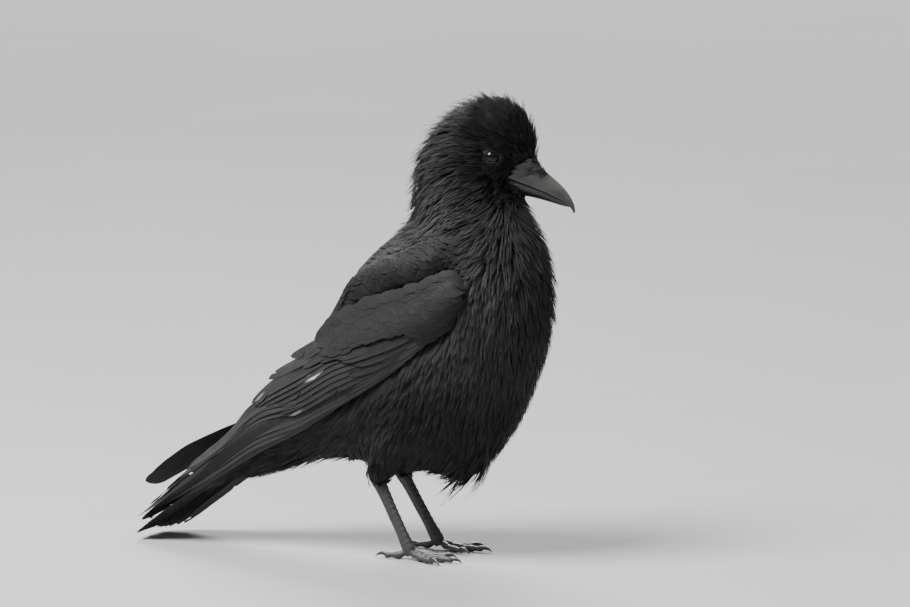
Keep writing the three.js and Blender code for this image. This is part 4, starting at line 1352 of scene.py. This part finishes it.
def lesser_roots(draw):
    """Evenly scattered (x, rank, share of the way back, height of the wing), close at the wing's bend."""
    kept, found = np.empty((0, 2)), []
    for _ in range(LESSER_TRIES):
        x, rank = draw.uniform(LESSER_BACK, LESSER_FRONT), draw.uniform(-0.06, 1.0)
        share = eased(x, LESSER_FRONT, LESSER_FRONT - LESSER_RUN)
        lowest = 0.40 * eased(x, 38, 24) + 0.0030 * max(24 - x, 0)
        lowest += 0.05 - 0.11 * eased(x, 46, 54)
        furthest = -34 - 18 * np.clip((rank - 0.62) / 0.3, 0, 1)
        span = wing_edge(WING_UPPER, x) - wing_edge(WING_LOWER, x)
        if rank < lowest or rank > 1 - (1.0 + 3.0 * share) / span or x < furthest:
            continue
        place = np.array([x, rank * span])
        if len(kept) and ((kept - place) ** 2).sum(1).min() < (1.6 + 2.6 * share) ** 2:
            continue
        kept = np.vstack([kept, place])
        found.append((x, rank, share, span))
    return np.array(found)


def make_lesser_coverts(face):
    """Small rounded feathers over the wing's bend and forearm, larger towards the back."""
    draw = np.random.default_rng(LESSER_SEED[face.side])
    x, rank, share, span = lesser_roots(draw).T[..., None]
    lengths = (9.0 + 15.0 * share) * draw.normal(1, 0.08, x.shape) * MM
    back = np.linspace(0, 1, STATIONS) * (lengths / MM)
    xs = x - back
    ranks = rank + back * draw.normal(0.0, 0.05, x.shape) / span
    places, normals, across = face.frame(xs, ranks)
    places = places + normals * ((1.35 - 0.15 * share + face.proud(xs, ranks)) * MM)[..., None]
    sizes = ((2.9 + 4.4 * share) * MM, (0.45 + 1.2 * bell(share, 0.08)) * MM, 0.015 - 0.01 * share, lengths)
    laid = (places, normals, across, *(size[:, 0] for size in sizes))
    parts = []
    for which in range(LESSER_TEMPLATES):
        template = feather_template("vane", draw)
        few = [values[which::LESSER_TEMPLATES] for values in laid]
        verts, faces, tone, uv = feather_mesh("vane", template, few, draw)
        parts.append((verts, faces, tone.ravel() + 0.14, uv))
    verts, faces, tone, uv = joined(parts)
    new_piece(f"lesser_coverts_{face.side}", verts, faces, SMOOTH_FEATHER, tone, uv)


def make_wing(side):
    """A folded wing's feathers: the flight feathers, the coverts over them and the small ones at its bend."""
    face = WingFace(side)
    flight = FeatherSheaf(f"flight_feathers_{side}", 5, FLIGHT_SEED[side])
    for lay in (lay_primaries, lay_secondaries, lay_tertials):
        lay(face, flight)
    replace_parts(flight.finish(SLEEK_FEATHER), *FLIGHT[side])
    coverts = FeatherSheaf(f"wing_coverts_{side}", 6, COVERT_SEED[side])
    for lay in (lay_primary_coverts, lay_alula, lay_greater_coverts):
        lay(face, coverts)
    coverts.finish(SLEEK_FEATHER)
    make_lesser_coverts(face)


for name in SIDES:
    make_wing(name)

# ---- Tail ----------------------------------------------------------------------------------------

TAIL_SEED = 505
TAIL_SLOPE, TAIL_ROLL = math.radians(33.0), math.radians(12.0)
TAIL_BASE = (-96.0, 0, 96.0)
TAIL_LENGTH = 162  # the longest feather's
TAIL_SHORTER = {1: 16, -1: 2}  # how much shorter the outermost feather is on each side
# At the feathers' root, middle and tip: how far out the innermost is, and how much further the outermost.
TAIL_INNERMOST = np.array([3, 4, 3])
TAIL_FAN = {1: (8, 13, 16), -1: (9, 22, 29)}
# At the same three: how high the stack's top is and how much lower each next feather; how much lower the
# outermost lies, how far all of them droop, and how far the right half sags.
TAIL_STACK = np.array([3.6, 1.9, 0.9])
TAIL_STEP = np.array([1.35, 0.75, 0.42])
TAIL_ARCH = np.array([0.0, 1.4, 2.2])
TAIL_DROOP = np.array([0.0, 1.2, 5.5])
TAIL_SAG = np.array([0.0, 1.0, 2.6])
TAIL_POINTS = 60


def make_tail():
    """Twelve tail feathers, the middle pair on top and each next one lower and further out."""
    tail = FeatherSheaf("tail_feathers", 4, TAIL_SEED)
    back = np.array([-math.cos(TAIL_SLOPE), 0, -math.sin(TAIL_SLOPE)])
    up = np.array([-math.sin(TAIL_SLOPE), 0, math.cos(TAIL_SLOPE)])
    across = np.array([0, math.cos(TAIL_ROLL), 0]) - up * math.sin(TAIL_ROLL)
    over = unit(np.cross(back, across))
    over *= np.sign(over[2])
    normal = np.tile(over, (TAIL_POINTS, 1))
    for k, side in product(range(5, -1, -1), (1, -1)):
        spread = (k + 0.35) / 5.35
        length = TAIL_LENGTH - TAIL_SHORTER[side] * spread**2
        run = np.array([6, 0.5 * length, length])
        lateral = side * (TAIL_INNERMOST + np.array(TAIL_FAN[side]) * spread)
        drop = TAIL_STACK - TAIL_STEP * k - TAIL_ARCH * spread**2 - TAIL_DROOP
        drop += 0.2 if side > 0 else -TAIL_SAG * spread**0.5
        knots = body_place(TAIL_BASE + run[:, None] * back + lateral[:, None] * across + drop[:, None] * over)
        spine = curve_through(knots, TAIL_POINTS)
        outward = unit(np.cross(normal, unit(np.gradient(spine, axis=0))))
        outward *= np.where((outward @ across) * side < 0, -1, 1)[:, None]
        # The outermost feather on the near, right side is painted lighter: a painted highlight along the
        # tail's edge.
        tail.add(spine, normal, -outward, lead=6.5 - 2.6 * spread, trail=9.0 + 1.5 * spread,
                 lead_web=(0.1, 12), trail_web=(0.1, 9), tilt=-0.02, camber=0.05,
                 tone=0.66 if k == 5 and side < 0 else 0.58, splits=2, contrast=0.6)
    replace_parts(tail.finish(DUSKY_FEATHER), "tail")


make_tail()

# ---- Eyes and lids -------------------------------------------------------------------------------

EYE_RINGS, EYE_SPOKES = 56, 72
EYE_BACK = math.radians(115)  # how far round from the front the eyeball goes
PUPIL_ANGLE, IRIS_ANGLE = math.radians(19), math.radians(44)
PUPIL_TONE, IRIS_TONE, RIM_TONE = 0.0, 0.45, 0.04
CORNEA_BULGE, CORNEA_ANGLE = 0.45, math.radians(30)
# The lids in section, from the edge on the eyeball outwards: distance from the eye's middle line, height
# over its centre and tone. The rim is a roll, with a groove and a fold round it before the skin goes under
# the coat.
LID_SECTION = ((4.55, 4.25, 0.10), (4.66, 4.66, 0.50), (4.86, 4.88, 0.55), (5.12, 4.84, 0.22),
               (5.42, 4.55, 0.03), (5.80, 4.60, 0.10), (6.25, 4.45, 0.06), (6.85, 4.05, 0.03),
               (7.9, 3.3, 0.02), (9.6, 1.6, 0.02))
LID_RINGS, LID_SPOKES = 44, 144
LID_SEED = {"left": 81, "right": 82}


def round_eye(side, turn, far, height):
    """Places by the turn round the eye's middle line, the distance from it and the height over the centre."""
    look, ahead, up = eye_axes(side)
    flat = far[..., None] * (np.cos(turn)[..., None] * ahead + np.sin(turn)[..., None] * up)
    return EYES[side] + MM * (flat + height[..., None] * look)


def make_eye(side, material):
    """An eyeball with a bulging cornea, an iris and a pupil."""
    tilt = np.linspace(0.02, EYE_BACK, EYE_RINGS)[:, None]
    turn = np.linspace(0, 2 * np.pi, EYE_SPOKES, endpoint=False)[None] * -SIDES[side]
    radius = 0.985 * EYE_RADIUS + CORNEA_BULGE * bell(tilt, CORNEA_ANGLE)
    verts, faces = lofted(round_eye(side, turn, radius * np.sin(tilt), radius * np.cos(tilt)))
    round_pupil = np.where(tilt < IRIS_ANGLE, IRIS_TONE, RIM_TONE)
    tone = np.where(tilt < PUPIL_ANGLE, PUPIL_TONE, round_pupil) + 0 * turn
    piece = new_piece(f"eyeball_{side}", verts, faces, material, capped(tone, PUPIL_TONE))
    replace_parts(piece, f"eye_{side}")


def make_lids(side, material):
    """The beaded rim round an eye and the folded skin about it, pale below and ahead of the eye."""
    draw = np.random.default_rng(LID_SEED[side])
    far, height, shade = curve_through(LID_SECTION, LID_RINGS).T[..., None]
    turn = np.linspace(0, 2 * np.pi, LID_SPOKES, endpoint=False)[None]
    shape = 1 + bell(far - 4.9, 1.6) * (0.045 * np.cos(2 * turn) - 0.10 * np.clip(np.sin(turn), 0, 1) ** 2)
    beads = 0.10 * np.sin(26 * turn + 2 * np.sin(3 * turn)) * bell(far - 5.0, 0.45)
    folds = 0.16 * np.sin(9 * turn + far * 2.2) * bell(far - 6.3, 0.7)
    brow = 0.5 * np.clip(np.sin(turn), 0, 1) * bell(far - 5.9, 1.0)
    height = height + beads + folds + brow + draw.normal(0, 0.015, (LID_RINGS, LID_SPOKES))
    verts = round_eye(side, turn, far * shape, height).reshape(-1, 3)
    index = np.arange(len(verts)).reshape(LID_RINGS, LID_SPOKES)
    beside = np.roll(index, -1, axis=1)
    quads = np.stack([index[:-1], beside[:-1], beside[1:], index[1:]], -1).reshape(-1, 4)
    lower = np.clip(-np.sin(turn + 0.25), 0, 1) ** 0.7
    tone = shade * (0.06 + 0.9 * lower) + draw.normal(0, 0.03, (LID_RINGS, LID_SPOKES))
    before = bell(np.mod(turn + 0.1 + np.pi, 2 * np.pi) - np.pi, 0.55)
    tone += 0.9 * before * (np.sin(21 * turn + 3 * far) * np.sin(7 * far) > 0.45) * (far > 5.5)
    new_piece(f"lids_{side}", verts, quads, material, tone.ravel())


eye_look, lid_look = eye_material(), lid_material()
for name in SIDES:
    make_eye(name, eye_look)
    make_lids(name, lid_look)

# ---- Legs and feet -------------------------------------------------------------------------------

LEG_OUT = 25.0
ANKLE = {"left": (-30, LEG_OUT, 60), "right": (-26, -LEG_OUT, 62)}
FOOT = {"left": (2, LEG_OUT, 7.2), "right": (1.5, -LEG_OUT, 7.2)}
LEG_SEED = {"left": 91, "right": 92}
# Share of the way down, and half width.
SHANK = ((-0.10, 3.6), (-0.02, 4.4), (0.05, 4.5), (0.16, 3.7), (0.45, 3.3), (0.78, 3.35), (0.92, 3.8),
         (1.0, 3.9), (1.06, 3.0))
SHANK_DEPTH = 1.32
SHANK_PLATES = 15
TOES = {  # heading from straight ahead towards the outer side, length to the claw, radius, joints along it
    "inner": (-24, 27, 2.7, 3),
    "middle": (2, 35, 3.0, 4),
    "outer": (27, 27, 2.6, 4),
    "hind": (178, 19, 3.1, 2),
}
TOE_TAPER = ((0, 1.05), (0.2, 1.0), (0.6, 0.86), (0.9, 0.78), (0.97, 0.62), (1, 0.35))
TOE_PLATE = 2.9  # length of each
PAD_HEIGHT = 2.1
CLAW_LENGTH, CLAW_ROOT = 9.5, 1.6  # beyond the toe's end, and inside it
FLOOR_GAP = 0.12
END_TONE = 0.3
FORWARD, UPWARD = np.array([1.0, 0, 0]), np.array([0, 0, 1.0])


def scute_step(place, count):
    """Overlapping plates: a rise along each plate to its lower edge, then a sharp step, from 0 to 1."""
    share = np.mod(place * count, 1.0)
    return np.where(share < 0.86, share / 0.86, (1 - share) / 0.14)


def limb(path, radii, sides, relief, tone, front, flatten):
    """A closed tube along a path, kept over the floor: its vertices, triangles and tones.

    Relief, in millimetres, and tone are functions of the share of the way along and the angle from the front.
    """
    ahead = unit(np.gradient(path, axis=0))
    fore = unit(front - (ahead @ front)[:, None] * ahead)
    side = np.cross(ahead, fore)
    angle = np.linspace(0, 2 * np.pi, sides, endpoint=False)[None]
    share = np.linspace(0, 1, len(path))[:, None]
    across = radii[:, None] + relief(share, angle)
    rings = (path[:, None] + (across * flatten * np.cos(angle))[..., None] * fore[:, None]
             + (across * np.sin(angle))[..., None] * side[:, None])
    rings[..., 2] = np.maximum(rings[..., 2], FLOOR_GAP)
    verts, faces = lofted(body_place(rings))
    return verts, faces, capped(tone(share, angle), END_TONE)


def shank(ankle, foot, draw):
    """The bare lower leg: broad plates in front, and a seam down each side."""
    shares = np.linspace(SHANK[0][0], SHANK[-1][0], 190)
    radii = np.interp(shares, *zip(*SHANK))
    radii = np.convolve(np.pad(radii, 6, mode="edge"), np.ones(13) / 13, "valid")

    def relief(share, angle):
        plates = 0.34 * (scute_step(share, SHANK_PLATES) - 0.5) * np.clip(np.cos(angle), 0, 1) ** 0.6
        seam = -0.22 * bell(np.abs(angle - np.pi) - 1.25, 0.14)
        tendon = 0.18 * np.clip(-np.cos(angle), 0, 1) * np.sin(share * 9) ** 2
        return plates + seam + tendon + 0.04 * draw.normal(0, 1, share.shape)

    def tone(share, angle):
        plates = 0.22 * (scute_step(share, SHANK_PLATES) - 0.5) * (np.cos(angle) > -0.2)
        return 0.40 + plates + 0.10 * np.cos(angle)

    return limb(ankle + shares[:, None] * (foot - ankle), radii, 40, relief, tone, FORWARD, SHANK_DEPTH)


def toe(foot, way, length, radius, joints):
    """A toe with plates on top, pads under it and a knuckle at each joint."""
    profile = ((-1.5, 6.6), (0.16 * length, 5.4), (0.45 * length, 3.4), (0.75 * length, 2.8),
               (length, PAD_HEIGHT + 0.5), (length + 1.6, PAD_HEIGHT + 0.3))
    path = curve_through([foot + way * reach + [0, 0, z - foot[2]] for reach, z in profile], 120)
    place = np.linspace(0, 1, 120)
    knuckles = 1 + 0.10 * np.cos(2 * np.pi * place * joints) * (place < 0.95)
    plates = length / TOE_PLATE

    def relief(share, angle):
        top = 0.26 * (scute_step(share, plates) - 0.5) * np.clip(np.cos(angle), 0, 1) ** 0.5
        return top + 0.35 * np.clip(-np.cos(angle), 0, 1) * np.cos(2 * np.pi * share * joints)

    # Painted light: the top of the toe is lighter than its underside.
    def tone(share, angle):
        return 0.44 + 0.22 * (scute_step(share, plates) - 0.5) * (np.cos(angle) > 0) + 0.08 * np.cos(angle)

    radii = radius * np.interp(place, *zip(*TOE_TAPER)) * knuckles
    return limb(path, radii, 28, relief, tone, UPWARD, 0.92)


def claw(foot, way, length):
    """A hooked claw, grooved along its underside."""
    root = foot + way * (length - CLAW_ROOT) + [0, 0, PAD_HEIGHT + 0.6 - foot[2]]
    reach = CLAW_LENGTH + CLAW_ROOT
    hook = ((0, 0), (0.40, 1.0), (0.80, -0.1), (1, -PAD_HEIGHT))
    path = curve_through([root + way * share * reach + [0, 0, rise] for share, rise in hook], 60)

    def relief(share, angle):
        return -0.25 * (1 - share) * bell(angle - np.pi, 0.4)

    # Painted light: the top of the claw is lighter and its underside darker; it also darkens towards the tip.
    def tone(share, angle):
        return 0.40 + 0.25 * np.cos(angle) - 0.15 * share

    radii = 1.72 * (1 - np.linspace(0, 1, 60) ** 1.6) + 0.10
    return limb(path, radii, 24, relief, tone, UPWARD, 1.12)


def make_leg(side, scales, horn):
    """A shank, its four toes and their claws."""
    ankle, foot = np.array(ANKLE[side], float), np.array(FOOT[side], float)
    verts, faces, tone = shank(ankle, foot, np.random.default_rng(LEG_SEED[side]))
    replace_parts(new_piece(f"shank_{side}", verts, faces, scales, tone), f"tarsus_{side}")
    toes = []
    for name, (heading, length, radius, joints) in TOES.items():
        turn = math.radians(heading)
        way = np.array([math.cos(turn), SIDES[side] * math.sin(turn), 0])
        toes.append(toe(foot, way, length, radius, joints))
        verts, faces, tone = claw(foot, way, length)
        piece = new_piece(f"claw_{side}_{name}_horn", verts, faces, horn, tone)
        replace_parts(piece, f"claw_{side}_{name}")
    verts, faces, tone = joined(toes)
    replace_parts(new_piece(f"toes_{side}", verts, faces, scales, tone), f"foot_{side}")


scale_look, claw_look = scale_material(), claw_material()
for name in SIDES:
    make_leg(name, scale_look, claw_look)

# ---- Stage, lights and camera --------------------------------------------------------------------

VIEW_AZIMUTH = math.radians(25)
VIEW_ELEVATION = math.radians(8)
CAMERA_DISTANCE = 5.0
SENSOR = 36
FRAME_WIDTH = 0.6916  # metres across the picture at the bird
PICTURE_CENTRE = (25.1, 191.0, -10.0)  # right, up and into the picture, from the bird's origin
# The view's own directions along the floor: to the right, and into the picture.
RIGHT, INWARD = turned([(1.0, 0, 0), (0, 1.0, 0)], VIEW_AZIMUTH)
FLOOR_REACH = 40.0
AMBIENT, AMBIENT_STRENGTH = 0.66, 0.42
LIT_PLACE = (-20, 0, 180)
# Each light's direction from the bird (right, into the picture, up), distance, size and power.
LIGHTS = {
    "key": ((-0.55, -0.40, 1.0), 2.4, 1.4, 165),
    "rim": ((-0.3, 1.0, 0.9), 2.6, 1.2, 16),
    "backdrop": ((0.0, 1.0, 0.75), 11.0, 6.0, 1600),
    "catch": ((-0.10, -1.0, 0.75), 2.2, 0.28, 1.2),
}


def placed(name, data, location, facing):
    """An object in the scene, whose own -Z looks along facing."""
    thing = bpy.data.objects.new(name, data)
    thing.location = location
    thing.rotation_euler = Vector(facing).to_track_quat("-Z", "Y").to_euler()
    bpy.context.collection.objects.link(thing)
    return thing


def make_camera():
    forward = math.cos(VIEW_ELEVATION) * INWARD - math.sin(VIEW_ELEVATION) * UPWARD
    up = math.sin(VIEW_ELEVATION) * INWARD + math.cos(VIEW_ELEVATION) * UPWARD
    across, above, deep = PICTURE_CENTRE
    target = body_place(across * RIGHT + above * up + deep * forward)
    lens = bpy.data.cameras.new("camera")
    lens.sensor_width = SENSOR
    lens.lens = SENSOR * CAMERA_DISTANCE / FRAME_WIDTH
    lens.clip_end = 100
    bpy.context.scene.camera = placed("camera", lens, target - forward * CAMERA_DISTANCE, forward)


def make_floor():
    ground = Material("floor", Roughness=0.9)
    ground.colour(ground.noise(3, 3), (0.3, grey(0.37)), (0.7, grey(0.39)))
    mesh = bpy.data.meshes.new("floor")
    corners = [(x * FLOOR_REACH, y * FLOOR_REACH, 0) for x, y in ((-1, -1), (1, -1), (1, 1), (-1, 1))]
    mesh.from_pydata(corners, [], [(0, 1, 2, 3)])
    mesh.materials.append(ground.data)
    floor = bpy.data.objects.new("floor", mesh)
    bpy.context.collection.objects.link(floor)


def make_world():
    world = bpy.data.worlds.new("world")
    bpy.context.scene.world = world
    world.use_nodes = True
    background = world.node_tree.nodes["Background"]
    background.inputs["Color"].default_value = (*grey(AMBIENT), 1)
    background.inputs["Strength"].default_value = AMBIENT_STRENGTH


def make_lights():
    for name, (direction, distance, size, power) in LIGHTS.items():
        light = bpy.data.lights.new(name, "AREA")
        light.shape = "DISK"
        light.size = size
        light.energy = power
        way = unit(direction[0] * RIGHT + direction[1] * INWARD + direction[2] * UPWARD)
        placed(name, light, body_place(LIT_PLACE) + way * distance, -way)


make_camera()
make_floor()
make_world()
make_lights()
